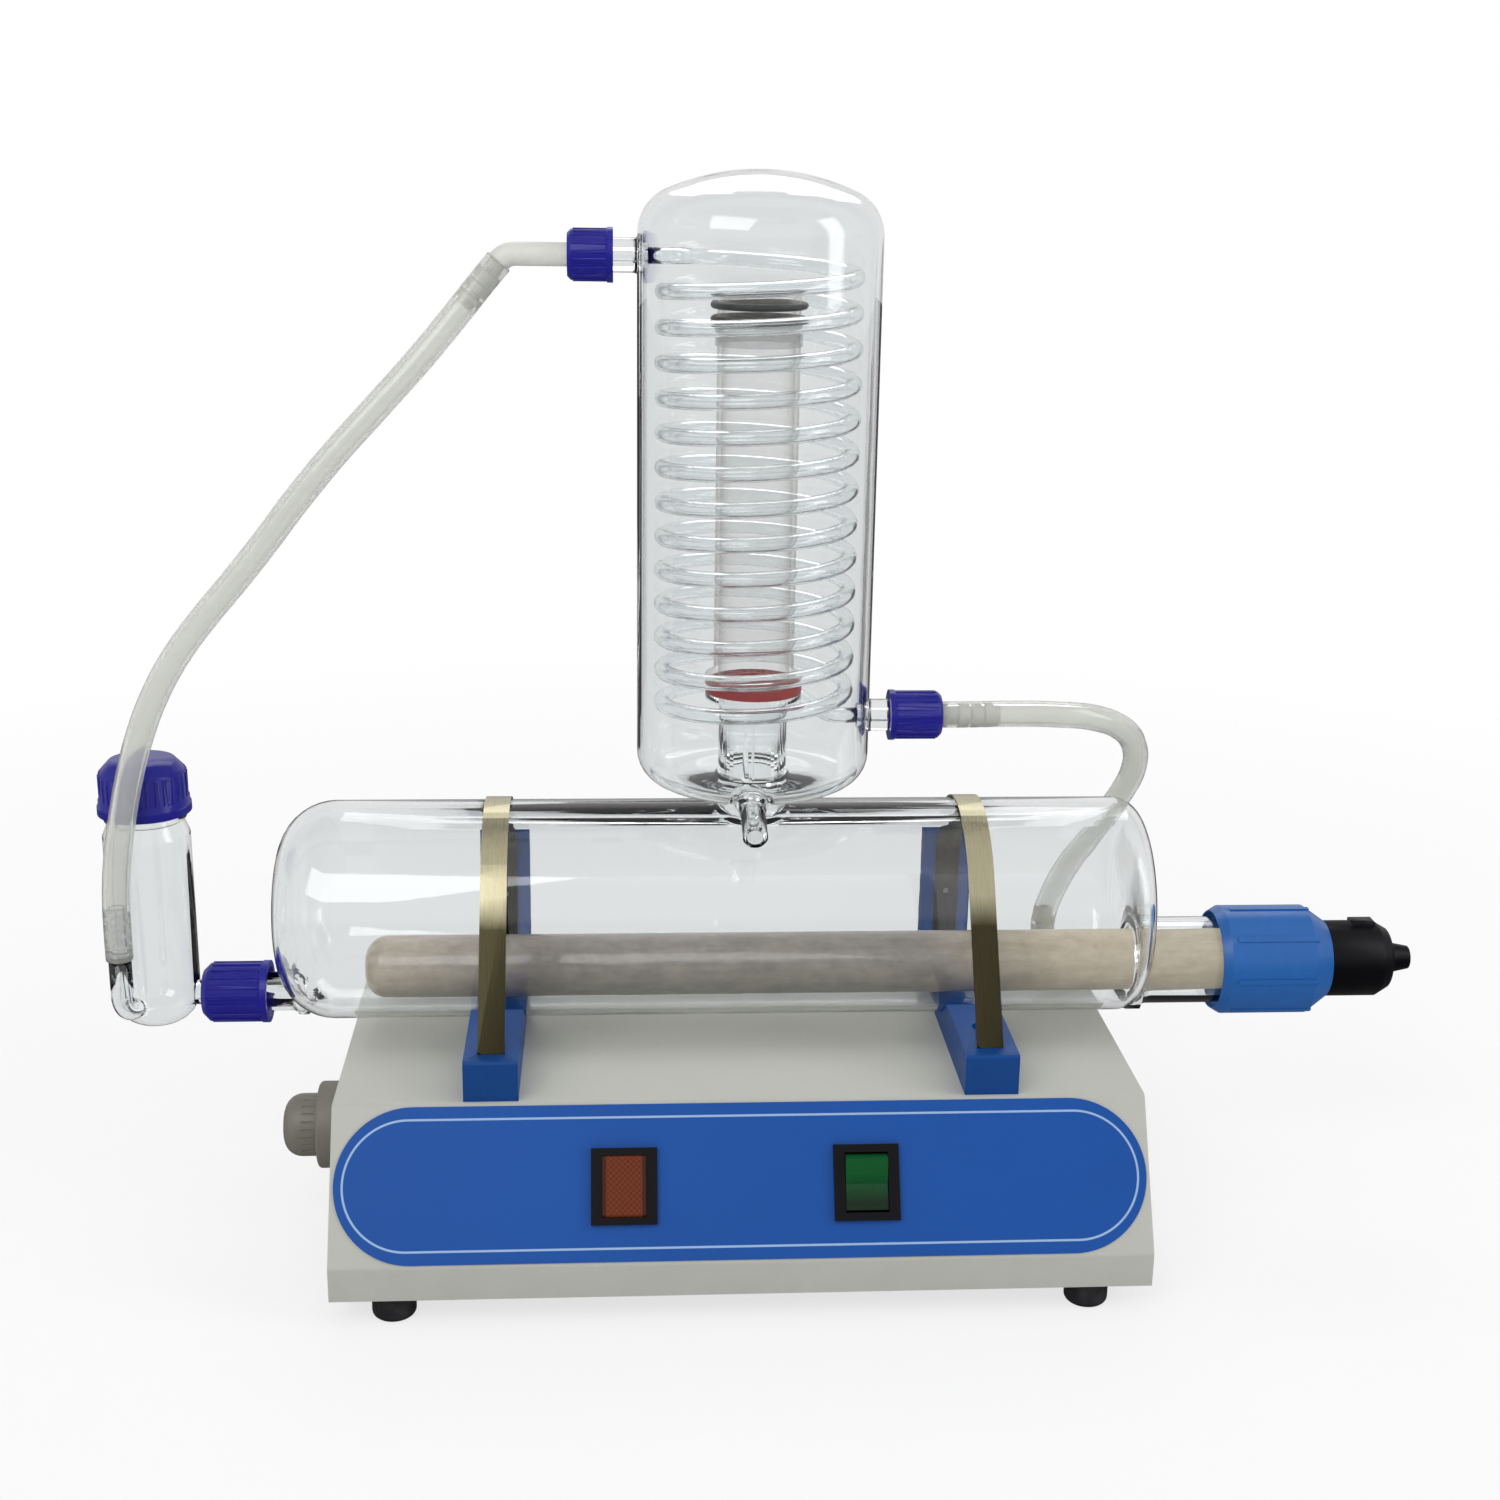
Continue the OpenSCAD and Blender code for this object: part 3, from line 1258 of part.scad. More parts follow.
module inlet_locknut() {
    color("#b58d3c") placed() translate([inlet_x, base_back - sheet_t, inlet_z]) rotate([90, 0, 0])
        difference() {
            cylinder(r = 8, h = 2.8, $fn = 6);
            translate([0, 0, -cut]) cylinder(r = fitting_shank_r + 0.1, h = 2.8 + 2 * cut);
        }
}

// The switch that needs water pressure before the heater comes on
module pressure_switch() {
    front = base_back - sheet_t - 4 - switch_box.y;
    color("#3b3f46") placed() translate([inlet_x, front, inlet_z]) difference() {
        union() {
            translate([-switch_box.x / 2, 0, -switch_box.z / 2]) cube(switch_box);
            translate([0, switch_box.y / 2, -switch_box.z / 2 - 4]) cylinder(r = 9, h = 5);
            translate([switch_box.x / 2, switch_box.y / 2, 0]) along_x() cylinder(r = 4.5, h = 5);
            // Post down to the base plate, clear of the housing's flange
            translate([0, 5, -inlet_z + foot_h + sheet_t])
                cylinder(r = 5, h = inlet_z - foot_h - switch_box.z / 2);
        }
        translate([0, switch_box.y - 8, 0]) rotate([-90, 0, 0]) cylinder(r = 2.2, h = 10);
        translate([0, switch_box.y / 2, 0]) along_x() cylinder(r = 2.2, h = switch_box.x);
    }
}

// Bent tube from the pressure switch up to the outlet
module inner_water_tube() {
    y = base_back - sheet_t - 4 - switch_box.y / 2;
    start = inlet_x + switch_box.x / 2 + 5;
    top = base_top - 12;
    color(hose_white) placed() translate([start, y, inlet_z]) difference() {
        inner_run(3.5, top - inlet_z, 0);
        inner_run(2.2, top - inlet_z, 0.5);
    }
}
module inner_run(r, rise, extra) {
    bend = 8;
    run = outlet_pos.x - inlet_x - switch_box.x / 2 - 5 - bend;
    translate([-extra, 0, 0]) along_x() cylinder(r = r, h = run + extra);
    translate([run, 0, bend]) rotate([90, 0, 0]) rotate([0, 0, -90])
        rotate_extrude(angle = 90) translate([bend, 0]) circle(r = r);
    translate([run + bend, 0, bend]) cylinder(r = r, h = rise - bend + extra);
}

module terminal_block() {
    color("#e4e0d2") placed() translate([-foot_x / 2, block_y, foot_h + sheet_t]) difference() {
        block(block_size.x, block_size.y, 0, block_size.z);
        for (i = [-2:2]) translate([i * way_pitch, 0, way_z]) {
            translate([0, -block_size.y / 2 - cut, 0]) rotate([-90, 0, 0])
                cylinder(r = way_r, h = block_size.y + 2 * cut, $fn = 32);
            for (y = [-1, 1]) translate([0, y * block_size.y / 4, 0])
                cylinder(r = way_r - 0.6, h = block_size.z, $fn = 32);
        }
    }
}

// ---------- hoses ----------

module feed_hose() {
    color(hose_white) placed() swept_tube(feed_route, hose_d / 2, 12, [0, 1, 0],
        [-cos(elbow_angle), 0, -sin(elbow_angle)], [0, 0, -1]);
}

module cooling_hose() {
    color(hose_white) placed() swept_tube(cooling_route, hose_d / 2, 12, [0, 1, 0], [1, 0, 0], [0, 0, -1]);
}

base_housing();
base_plate();
housing_screws();
foot_front_left();
foot_front_right();
foot_back_left();
foot_back_right();
foot_screws();
front_label();
indicator_body();
indicator_lens();
switch_body();
switch_rocker();
panel_terminals();
gland_body();
gland_nut();
gland_seal();
gland_locknut();
bracket_left();
bracket_right();
bracket_screws();
strap_left();
strap_right();
strap_screws();
boiler_glass();
condenser_jacket();
condenser_coil();
chimney_tube();
chimney_ring();
chimney_sleeve();
neck_seal();
upper_hose_cap();
lower_hose_cap();
upper_hose_nozzle();
lower_hose_nozzle();
port_seals();
levelling_bottle();
bottle_cap();
cap_liner();
coupling_nut();
coupling_seal();
heater_sheath();
heater_core();
heater_winding();
heater_seal();
heater_union_nut();
heater_terminal_cap();
heater_terminals();
water_outlet();
outlet_locknut();
water_inlet();
inlet_locknut();
pressure_switch();
inner_water_tube();
terminal_block();
feed_hose();
cooling_hose();
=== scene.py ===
import sys
import json
import math

import bmesh
import bpy
from mathutils import Matrix, Vector
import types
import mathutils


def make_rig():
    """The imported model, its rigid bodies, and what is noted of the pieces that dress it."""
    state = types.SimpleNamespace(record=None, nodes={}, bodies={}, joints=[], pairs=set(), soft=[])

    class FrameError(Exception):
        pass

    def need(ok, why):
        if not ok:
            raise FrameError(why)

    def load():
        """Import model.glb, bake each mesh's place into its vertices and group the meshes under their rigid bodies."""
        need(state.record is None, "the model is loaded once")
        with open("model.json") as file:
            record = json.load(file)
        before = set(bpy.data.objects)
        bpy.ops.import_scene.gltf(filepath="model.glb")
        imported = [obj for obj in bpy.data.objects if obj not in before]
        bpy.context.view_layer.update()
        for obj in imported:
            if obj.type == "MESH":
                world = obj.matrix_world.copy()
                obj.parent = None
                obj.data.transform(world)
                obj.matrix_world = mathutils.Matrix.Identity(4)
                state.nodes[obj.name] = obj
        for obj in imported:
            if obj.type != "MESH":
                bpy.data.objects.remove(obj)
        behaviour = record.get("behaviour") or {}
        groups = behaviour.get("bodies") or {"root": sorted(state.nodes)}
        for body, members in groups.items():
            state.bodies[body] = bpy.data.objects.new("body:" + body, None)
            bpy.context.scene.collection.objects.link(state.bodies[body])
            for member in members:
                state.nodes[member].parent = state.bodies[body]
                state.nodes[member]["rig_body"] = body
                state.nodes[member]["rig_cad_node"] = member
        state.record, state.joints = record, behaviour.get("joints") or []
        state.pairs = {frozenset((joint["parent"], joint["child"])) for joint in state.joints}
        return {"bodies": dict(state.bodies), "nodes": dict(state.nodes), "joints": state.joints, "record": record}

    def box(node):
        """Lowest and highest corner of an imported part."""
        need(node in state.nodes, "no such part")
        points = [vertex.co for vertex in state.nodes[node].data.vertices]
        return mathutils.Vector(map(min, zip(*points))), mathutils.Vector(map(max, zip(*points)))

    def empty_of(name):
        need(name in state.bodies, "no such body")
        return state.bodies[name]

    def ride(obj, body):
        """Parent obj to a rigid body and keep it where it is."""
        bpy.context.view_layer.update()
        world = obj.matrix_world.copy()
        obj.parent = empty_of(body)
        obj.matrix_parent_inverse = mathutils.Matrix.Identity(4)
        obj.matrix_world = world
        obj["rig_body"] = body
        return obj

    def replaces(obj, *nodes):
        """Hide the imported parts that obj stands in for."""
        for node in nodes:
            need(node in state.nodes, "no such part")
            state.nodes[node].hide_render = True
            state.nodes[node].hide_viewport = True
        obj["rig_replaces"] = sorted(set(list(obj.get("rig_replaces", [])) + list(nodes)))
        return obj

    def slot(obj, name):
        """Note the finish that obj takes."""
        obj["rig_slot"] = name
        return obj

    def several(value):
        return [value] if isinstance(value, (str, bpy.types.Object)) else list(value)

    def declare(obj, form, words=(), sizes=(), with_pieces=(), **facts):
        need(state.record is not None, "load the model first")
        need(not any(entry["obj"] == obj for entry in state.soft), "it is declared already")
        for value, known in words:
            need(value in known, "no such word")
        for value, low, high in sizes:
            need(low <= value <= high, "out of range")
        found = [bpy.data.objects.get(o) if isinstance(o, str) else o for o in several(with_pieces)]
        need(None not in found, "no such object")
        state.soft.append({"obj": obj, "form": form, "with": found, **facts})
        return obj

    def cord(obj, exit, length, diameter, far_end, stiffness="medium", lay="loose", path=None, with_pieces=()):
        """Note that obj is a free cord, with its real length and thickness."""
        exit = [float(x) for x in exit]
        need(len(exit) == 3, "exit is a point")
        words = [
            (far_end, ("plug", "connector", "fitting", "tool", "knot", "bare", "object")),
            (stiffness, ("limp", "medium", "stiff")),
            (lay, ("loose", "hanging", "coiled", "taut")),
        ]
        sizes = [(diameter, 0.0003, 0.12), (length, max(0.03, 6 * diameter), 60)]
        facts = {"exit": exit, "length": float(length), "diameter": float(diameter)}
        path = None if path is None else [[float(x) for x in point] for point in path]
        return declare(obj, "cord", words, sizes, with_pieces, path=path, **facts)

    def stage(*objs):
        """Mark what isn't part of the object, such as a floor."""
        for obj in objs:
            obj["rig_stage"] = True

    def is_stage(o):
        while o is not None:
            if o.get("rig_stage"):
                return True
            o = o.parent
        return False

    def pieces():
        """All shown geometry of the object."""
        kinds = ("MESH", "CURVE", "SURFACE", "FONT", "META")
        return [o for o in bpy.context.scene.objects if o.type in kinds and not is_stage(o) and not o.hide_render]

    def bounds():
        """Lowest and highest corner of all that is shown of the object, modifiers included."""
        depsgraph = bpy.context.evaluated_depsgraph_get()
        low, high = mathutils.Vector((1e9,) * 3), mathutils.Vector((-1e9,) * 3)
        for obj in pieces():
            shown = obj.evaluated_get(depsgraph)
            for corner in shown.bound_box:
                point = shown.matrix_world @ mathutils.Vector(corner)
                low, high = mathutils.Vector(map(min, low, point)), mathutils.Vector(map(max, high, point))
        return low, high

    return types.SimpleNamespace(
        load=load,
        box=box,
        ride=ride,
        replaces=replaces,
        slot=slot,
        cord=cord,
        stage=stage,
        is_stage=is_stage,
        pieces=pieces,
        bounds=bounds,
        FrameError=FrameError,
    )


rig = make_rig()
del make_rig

bl_info = {
    "name": "Glass water distiller",
    "version": (1, 0, 0),
    "blender": (4, 5, 0),
    "location": "3D View > Sidebar > Distiller",
    "description": "Dresses the CAD model of a bench water distiller in glass, paint, steel and "
                   "plastic",
    "category": "Object",
}

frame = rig.load()
CAD_BOX = [list(corner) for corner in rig.bounds()]
BODY_OF = {node: body
           for body, nodes in frame["record"]["behaviour"]["bodies"].items()
           for node in nodes}

# The part's frame is the bench frame of its CAD source, moved by this much
BENCH = Vector((-0.018925, 0.005, 0.0))

# Sizes of the CAD source in metres; heights and x are in the bench frame
BASE_WIDTH = 0.35
PANEL_FOOT = Vector((0, -0.126, 0.027)) + BENCH
PANEL_RUN = 0.0336
PANEL_RISE = 0.059
PANEL_TILT = math.atan2(PANEL_RUN, PANEL_RISE)
PANEL_LENGTH = math.hypot(PANEL_RUN, PANEL_RISE)
GLAND_CENTRE = (0.0, -0.038 + BENCH.y, 0.05)
HEATER_START_X = -0.17
CONDENSER_X = 0.0077
JACKET_RADIUS = 0.0524
JACKET_WALL = 0.0025
UPPER_PORT_Z = 0.434
LOWER_PORT_Z = 0.232
COIL_TUBE_RADIUS = 0.0035
COIL_END_GAP = 0.0022
HOSE_DIAMETER = 0.012

# The photo's camera: its place in the part's frame, then pitch, yaw and roll in degrees
CAMERA_PLACE = (-0.072995, -0.88511, 0.47863)
CAMERA_ANGLES = (16.439, 3.905, 0.934)
SENSOR_WIDTH = 36

# Vertices of a CAD node nearer than this are merged in its smooth copy
MERGE_DISTANCE = 0.000002
# The straps' colour is painted dark under this height and bright over it, as a painted reflection
TARNISH_HEIGHT = 0.158
WHITE = (1, 1, 1, 1)

# Centre lines of the hoses, in the bench frame
FEED_ROUTE = [
    (-0.1029, 0, 0.4308), (-0.112, 0, 0.42), (-0.12, -0.001, 0.4105), (-0.136, -0.005, 0.39),
    (-0.156, -0.009, 0.37), (-0.175, -0.012, 0.349), (-0.191, -0.014, 0.331),
    (-0.204, -0.016, 0.312), (-0.217, -0.019, 0.297), (-0.231, -0.021, 0.281),
    (-0.243, -0.0235, 0.266), (-0.252, -0.026, 0.25), (-0.2595, -0.028, 0.232),
    (-0.265, -0.0285, 0.213), (-0.269, -0.0285, 0.195), (-0.272, -0.028, 0.18),
    (-0.274, -0.028, 0.166), (-0.275, -0.028, 0.152), (-0.275, -0.028, 0.139),
    (-0.275, -0.028, 0.1275),
]
COOLING_ROUTE = [
    (0.0934, 0, 0.232), (0.106, 0, 0.232), (0.123, 0, 0.2325), (0.147, 0.002, 0.2315),
    (0.169, 0.008, 0.229), (0.184, 0.018, 0.221), (0.194, 0.03, 0.208), (0.197, 0.042, 0.193),
    (0.194, 0.052, 0.178), (0.188, 0.061, 0.163), (0.18, 0.067, 0.149), (0.172, 0.071, 0.134),
    (0.166, 0.0735, 0.119), (0.163, 0.074, 0.104), (0.163, 0.074, 0.091),
]


# ---------- shader making ----------


class Wire:
    """A number socket in a shader; arithmetic on it adds Math nodes."""

    def __init__(self, tree, socket):
        self.tree = tree
        self.socket = socket

    def math(self, operation, *values):
        node = self.tree.nodes.new("ShaderNodeMath")
        node.operation = operation
        for slot, value in zip(node.inputs, values):
            plug(self.tree, slot, value)
        return Wire(self.tree, node.outputs[0])

    def __add__(self, other):
        return self.math("ADD", self, other)

    __radd__ = __add__

    def __mul__(self, other):
        return self.math("MULTIPLY", self, other)

    __rmul__ = __mul__

    def __sub__(self, other):
        return self.math("SUBTRACT", self, other)

    def __rsub__(self, other):
        return self.math("SUBTRACT", other, self)

    def __truediv__(self, other):
        return self.math("DIVIDE", self, other)

    def __pow__(self, other):
        return self.math("POWER", self, other)

    def __abs__(self):
        return self.math("ABSOLUTE", self)

    def at_least(self, other):
        return self.math("MAXIMUM", self, other)

    def at_most(self, other):
        return self.math("MINIMUM", self, other)

    def over(self, edge, soft):
        """1 where the value is over the edge, 0 under it, with a soft step between."""
        step = (self - (edge - soft)) / (2 * soft)
        return step.at_least(0.0).at_most(1.0)

    def waves(self, rate):
        """A sine wave along the value; rate is in radians per unit."""
        angle = self * rate
        return angle.math("SINE", angle)


def plug(tree, slot, value):
    """Links or sets a socket."""
    if isinstance(value, Wire):
        tree.links.new(value.socket, slot)
    elif isinstance(value, bpy.types.NodeSocket):
        tree.links.new(value, slot)
    else:
        slot.default_value = value


def rgb(hex_code):
    """A colour as Blender's linear RGBA from its hex code."""
    parts = [int(hex_code[i:i + 2], 16) / 255 for i in (1, 3, 5)]
    return (*(c / 12.92 if c <= 0.04045 else ((c + 0.055) / 1.055) ** 2.4 for c in parts), 1.0)


def toned(tone, factor):
    """A linear RGB tone made darker or lighter, as RGBA."""
    return (*(Vector(tone) * factor), 1)


class Finish:
    """A material being built from nodes."""

    def __init__(self, name):
        self.material = bpy.data.materials.new(name)
        self.material.use_nodes = True
        self.tree = self.material.node_tree
        self.tree.nodes.clear()
        self.place = self.node("ShaderNodeTexCoord").outputs["Object"]

    def node(self, kind, settings=None, sockets=None):
        node = self.tree.nodes.new(kind)
        for key, value in (settings or {}).items():
            setattr(node, key, value)
        for key, value in (sockets or {}).items():
            plug(self.tree, node.inputs[key], value)
        return node

    def wire(self, node, output=0):
        return Wire(self.tree, node.outputs[output])

    def mapped(self, centre=(0, 0, 0), turn=(0, 0, 0), stretch=(1, 1, 1)):
        """Object coordinates moved so that centre is the origin, turned, then stretched."""
        moved = self.node("ShaderNodeMapping", {"vector_type": "TEXTURE"},
                          {"Vector": self.place, "Location": centre, "Rotation": turn})
        return self.node("ShaderNodeVectorMath", {"operation": "MULTIPLY"},
                         {0: moved.outputs[0], 1: stretch}).outputs[0]

    def axes(self, vector=None):
        split = self.node("ShaderNodeSeparateXYZ", None, {0: vector or self.place})
        return [Wire(self.tree, o) for o in split.outputs]

    def noise(self, scale, detail=4.0, roughness=0.55, vector=None):
        return self.wire(self.node("ShaderNodeTexNoise", {"noise_dimensions": "3D"}, {
            "Vector": vector or self.place, "Scale": scale, "Detail": detail,
            "Roughness": roughness}))

    def mix(self, factor, low, high):
        node = self.node("ShaderNodeMix", {"data_type": "RGBA"}, {0: factor, 6: low, 7: high})
        return node.outputs[2]

    def bump(self, height, distance, strength=1.0):
        return self.node("ShaderNodeBump", None, {
            "Height": height, "Distance": distance, "Strength": strength}).outputs[0]

    def principled(self, **sockets):
        """The surface; socket names are written with underscores."""
        shader = self.node("ShaderNodeBsdfPrincipled", None,
                           {name.replace("_", " "): value for name, value in sockets.items()})
        self.node("ShaderNodeOutputMaterial", None, {"Surface": shader.outputs[0]})
        return self.material


FINISHES = {}


def finish(name):
    """The material of that name, made at its first use."""
    if name not in FINISHES:
        FINISHES[name] = globals()["make_" + name](Finish(name))
    return FINISHES[name]


def dress(material_name, *nodes):
    """Gives CAD nodes a material."""
    for name in nodes:
        for slot in frame["nodes"][name].material_slots:
            slot.material = finish(material_name)


def polish(material_name, *nodes, crease=32, slot_name=None):
    """Stands a merged, smoothly shaded copy of each CAD node in for its loose triangles."""
    for name in nodes:
        shape = bmesh.new()
        shape.from_mesh(frame["nodes"][name].data)
        bmesh.ops.remove_doubles(shape, verts=shape.verts, dist=MERGE_DISTANCE)
        mesh = bpy.data.meshes.new(name + "_smooth")
        shape.to_mesh(mesh)
        shape.free()
        mesh.shade_smooth()
        mesh.set_sharp_from_angle(angle=math.radians(crease))
        piece = new_piece(name + "_smooth", mesh, BODY_OF[name], material_name, [name], slot_name)
        piece.visible_shadow = material_name != "clear_glass"


# ---------- materials ----------


def make_cream_paint(f):
    """Powder-coated sheet: fine orange peel, faint grime low down."""
    look = bpy.context.scene.distiller_base
    height = f.axes()[2]
    cloudy = f.noise(9.0, 3.0)
    grime = (1.0 - height / 0.05).at_least(0.0) * f.noise(60.0, 6.0).over(0.5, 0.2) * 0.35
    peel = f.noise(900.0, 2.0) + f.noise(240.0, 1.0) * 0.5
    paint = look.paint[:3]
    base = f.mix(cloudy, toned(paint, 0.95), toned(paint, 1.04))
    return f.principled(
        Base_Color=f.mix(grime, base, toned(paint, 0.72)),
        Roughness=0.42 + f.noise(35.0, 3.0) * 0.12,
        Specular_IOR_Level=0.45,
        Normal=f.bump(peel, 0.00012, 0.5))


def make_label_blue(f):
    """Blue film with a thin pale band running round it."""
    look = bpy.context.scene.distiller_base
    on_panel = f.mapped(PANEL_FOOT, (math.pi / 2 - PANEL_TILT, 0, 0))
    x, up = f.axes(on_panel)[:2]
    half_height = PANEL_LENGTH / 2 - 0.0012
    half_width = BASE_WIDTH / 2 + 0.0003
    along = (abs(x) - (half_width - half_height)).at_least(0.0)
    across = up - PANEL_LENGTH / 2
    edge = half_height - (along * along + across * across) ** 0.5
    band = abs(edge - look.band_inset)
    line = 1.0 - band.over(0.00045, 0.00012)
    film = look.label[:3]
    field = f.mix(f.noise(14.0, 4.0), toned(film, 0.9), toned(film, 1.1))
    weave = f.noise(1500.0, 2.0)
    return f.principled(
        Base_Color=f.mix(line, field, tuple(look.band)),
        Roughness=0.3 + f.noise(80.0, 4.0) * 0.16,
        Specular_IOR_Level=0.16,
        Normal=f.bump(weave + line * 0.6, 0.00006, 0.5))


def plastic(f, colour, roughness=0.35, grain=0.00005, shade=0.12, grain_scale=1200.0, coat=0.0,
            shine=0.2):
    """Moulded plastic: flow marks in the colour, fine spark texture in the surface."""
    tone = rgb(colour)[:3]
    flow = f.noise(40.0, 4.0)
    rub = f.noise(220.0, 6.0).over(0.62, 0.08)
    base = f.mix(flow, toned(tone, 1 - shade), toned(tone, 1 + shade))
    return f.principled(
        Base_Color=f.mix(rub * 0.25, base, toned(tone, 1.3)),
        Roughness=(roughness - 0.05) + f.noise(90.0, 3.0) * 0.12,
        Specular_IOR_Level=shine,
        Coat_Weight=coat, Coat_Roughness=0.08,
        Normal=f.bump(f.noise(grain_scale, 3.0), grain, 0.6))


def make_black_plastic(f):
    return plastic(f, "#07070c", 0.36, 0.00005, 0.2, shine=0.12)


def make_cap_blue(f):
    return plastic(f, "#1c1b8a", 0.3, 0.00004, 0.15, coat=0.12)


def make_nut_blue(f):
    return plastic(f, "#175ca6", 0.3, 0.00006, 0.12, shine=0.45)


def make_bracket_blue(f):
    return plastic(f, "#0a4183", 0.42, 0.00007, 0.12, 700.0)


def make_switch_grey(f):
    return plastic(f, "#3b3f46", 0.45)


def make_fitting_white(f):
    return plastic(f, "#d9dad4", 0.35, 0.00004, 0.06)


def make_fitting_cream(f):
    return plastic(f, "#d6d0ba", 0.4, 0.00004, 0.08)


def make_gland_grey(f):
    """Glass-filled nylon with fine turned rings round the gland's axis."""
    y, z = f.axes(f.mapped(GLAND_CENTRE))[1:]
    distance = (y * y + z * z) ** 0.5
    rings = distance.waves(5200.0)
    base = f.mix(f.noise(55.0, 5.0), rgb("#66635a"), rgb("#7f7b71"))
    return f.principled(
        Base_Color=base,
        Roughness=0.42 + f.noise(160.0, 4.0) * 0.15,
        Normal=f.bump(rings * 0.5 + f.noise(900.0, 3.0) * 0.4, 0.00018, 0.6))


def make_foot_rubber(f):
    dust = f.noise(140.0, 6.0).over(0.56, 0.14)
    return f.principled(
        Base_Color=f.mix(dust * 0.5, rgb("#141317"), rgb("#3a383b")),
        Roughness=0.55 + f.noise(300.0, 4.0) * 0.25,
        Normal=f.bump(f.noise(1400.0, 3.0), 0.00009, 0.7))


def on_panel(f, node):
    """Distances across and up the sloping panel from the middle of a CAD node."""
    x, up = f.axes(f.mapped(PANEL_FOOT, (math.pi / 2 - PANEL_TILT, 0, 0)))[:2]
    low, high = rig.box(node)
    middle = (low + high) / 2 - PANEL_FOOT
    height = middle.y * math.sin(PANEL_TILT) + middle.z * math.cos(PANEL_TILT)
    return x - middle.x, up - height


def make_lens_amber(f):
    """Dark amber lens: fine prisms inside a smooth, deeper border."""
    x, up = on_panel(f, "indicator_lens")
    low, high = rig.box("indicator_lens")
    half = (high.x - low.x) / 2
    border = abs(x).over(half - 0.0016, 0.0003)
    prisms = up.waves(2600.0) * x.waves(2600.0)
    glow = f.mix(prisms * 0.5 + 0.5, rgb("#541c09"), rgb("#76310f"))
    return f.principled(
        Base_Color=f.mix(border, glow, rgb("#3a1407")),
        Roughness=0.25 + f.noise(120.0, 3.0) * 0.12,
        Specular_IOR_Level=0.15,
        Coat_Weight=0.1, Coat_Roughness=0.06,
        Normal=f.bump(prisms * (1.0 - border), 0.00012, 0.5))


def make_rocker_green(f):
    """Green rocker, with painted shade darkening it towards the lower end."""
    up = on_panel(f, "switch_rocker")[1]
    flow = f.noise(60.0, 4.0)
    base = f.mix(flow, rgb("#0a4a22"), rgb("#125c2d"))
    # painted shade: the colour darkens towards the rocker's lower end
    lower = (0.0 - up).over(0.002, 0.006)
    return f.principled(
        Base_Color=f.mix(lower, base, rgb("#06220f")),
        Roughness=0.22 + f.noise(140.0, 3.0) * 0.12,
        Specular_IOR_Level=0.15,
        Coat_Weight=0.1, Coat_Roughness=0.07,
        Normal=f.bump(f.noise(1100.0, 2.0), 0.00004, 0.5))


def brushed(f, low, high, lines, roughness):
    """Brushed metal; its marks run along the axis with the smallest number in lines."""
    grain = f.noise(1.0, 6.0, 0.7, f.mapped(stretch=lines))
    smudge = f.noise(28.0, 4.0)
    tint = f.mix(grain, rgb(low), rgb(high))
    return f.principled(
        Base_Color=f.mix(smudge.over(0.6, 0.12) * 0.3, tint, rgb(low)),
        Metallic=1.0,
        Roughness=roughness + grain * 0.18 + smudge * 0.08,
        Normal=f.bump(grain, 0.00006, 0.5))


def make_strap_steel(f):
    """Brushed strap, its colour a painted reflection: dark olive below the boiler's middle and bright above it."""
    height = f.axes()[2]
    grain = f.noise(1.0, 6.0, 0.7, f.mapped(stretch=(4200.0, 60.0, 60.0)))
    # painted reflection: a dark tone under the boiler's middle and a bright one over it stand in for what the metal
    # mirrors
    bright = (height + f.noise(90.0, 2.0) * 0.004).over(TARNISH_HEIGHT, 0.006)
    dark = f.mix(grain, rgb("#2b2819"), rgb("#484331"))
    clean = f.mix(grain, rgb("#8b856b"), rgb("#bbb599"))
    return f.principled(
        Base_Color=f.mix(bright, dark, clean),
        Metallic=1.0,
        Roughness=0.2 + grain * 0.16,
        Normal=f.bump(grain, 0.00005, 0.5))


def make_bare_steel(f):
    return brushed(f, "#a6a6a3", "#d2d2cf", (700.0, 700.0, 60.0), 0.22)


def make_brass(f):
    return brushed(f, "#b08b3a", "#dcbb66", (500.0, 500.0, 90.0), 0.2)


def make_clear_glass(f):
    """Drawn borosilicate glass, faintly wavy along its length."""
    look = bpy.context.scene.distiller_glass
    wave = f.noise(22.0, 2.0) + f.noise(90.0, 2.0) * 0.15
    film = f.noise(120.0, 5.0).over(0.55, 0.25)
    return f.principled(
        Base_Color=tuple(look.tint),
        Roughness=film * 0.012,
        IOR=look.ior,
        Transmission_Weight=1.0,
        Normal=f.bump(wave, 0.0006, 0.25))


def thin_wall(f, tone, clear, rim):
    """A thin glass wall: nearly clear where it faces the eye, denser along its edges."""
    layer = f.node("ShaderNodeLayerWeight", None, {"Blend": 0.5})
    edge = f.wire(layer, "Facing")
    streak = f.noise(1.0, 5.0, 0.6, f.mapped(stretch=(160.0, 160.0, 45.0)))
    return f.principled(
        Base_Color=f.mix(streak, toned(tone, 0.85), toned(tone, 1.15)),
        Roughness=0.05 + streak * 0.04,
        IOR=1.47,
        Alpha=(edge * edge * edge * rim + (0.6 + streak * 0.8) * clear).at_most(1.0))


def make_chimney_wall(f):
    return thin_wall(f, (0.5, 0.46, 0.4), 0.04, 0.8)


def make_sleeve_wall(f):
    return thin_wall(f, (0.5, 0.5, 0.49), 0.3, 0.5)


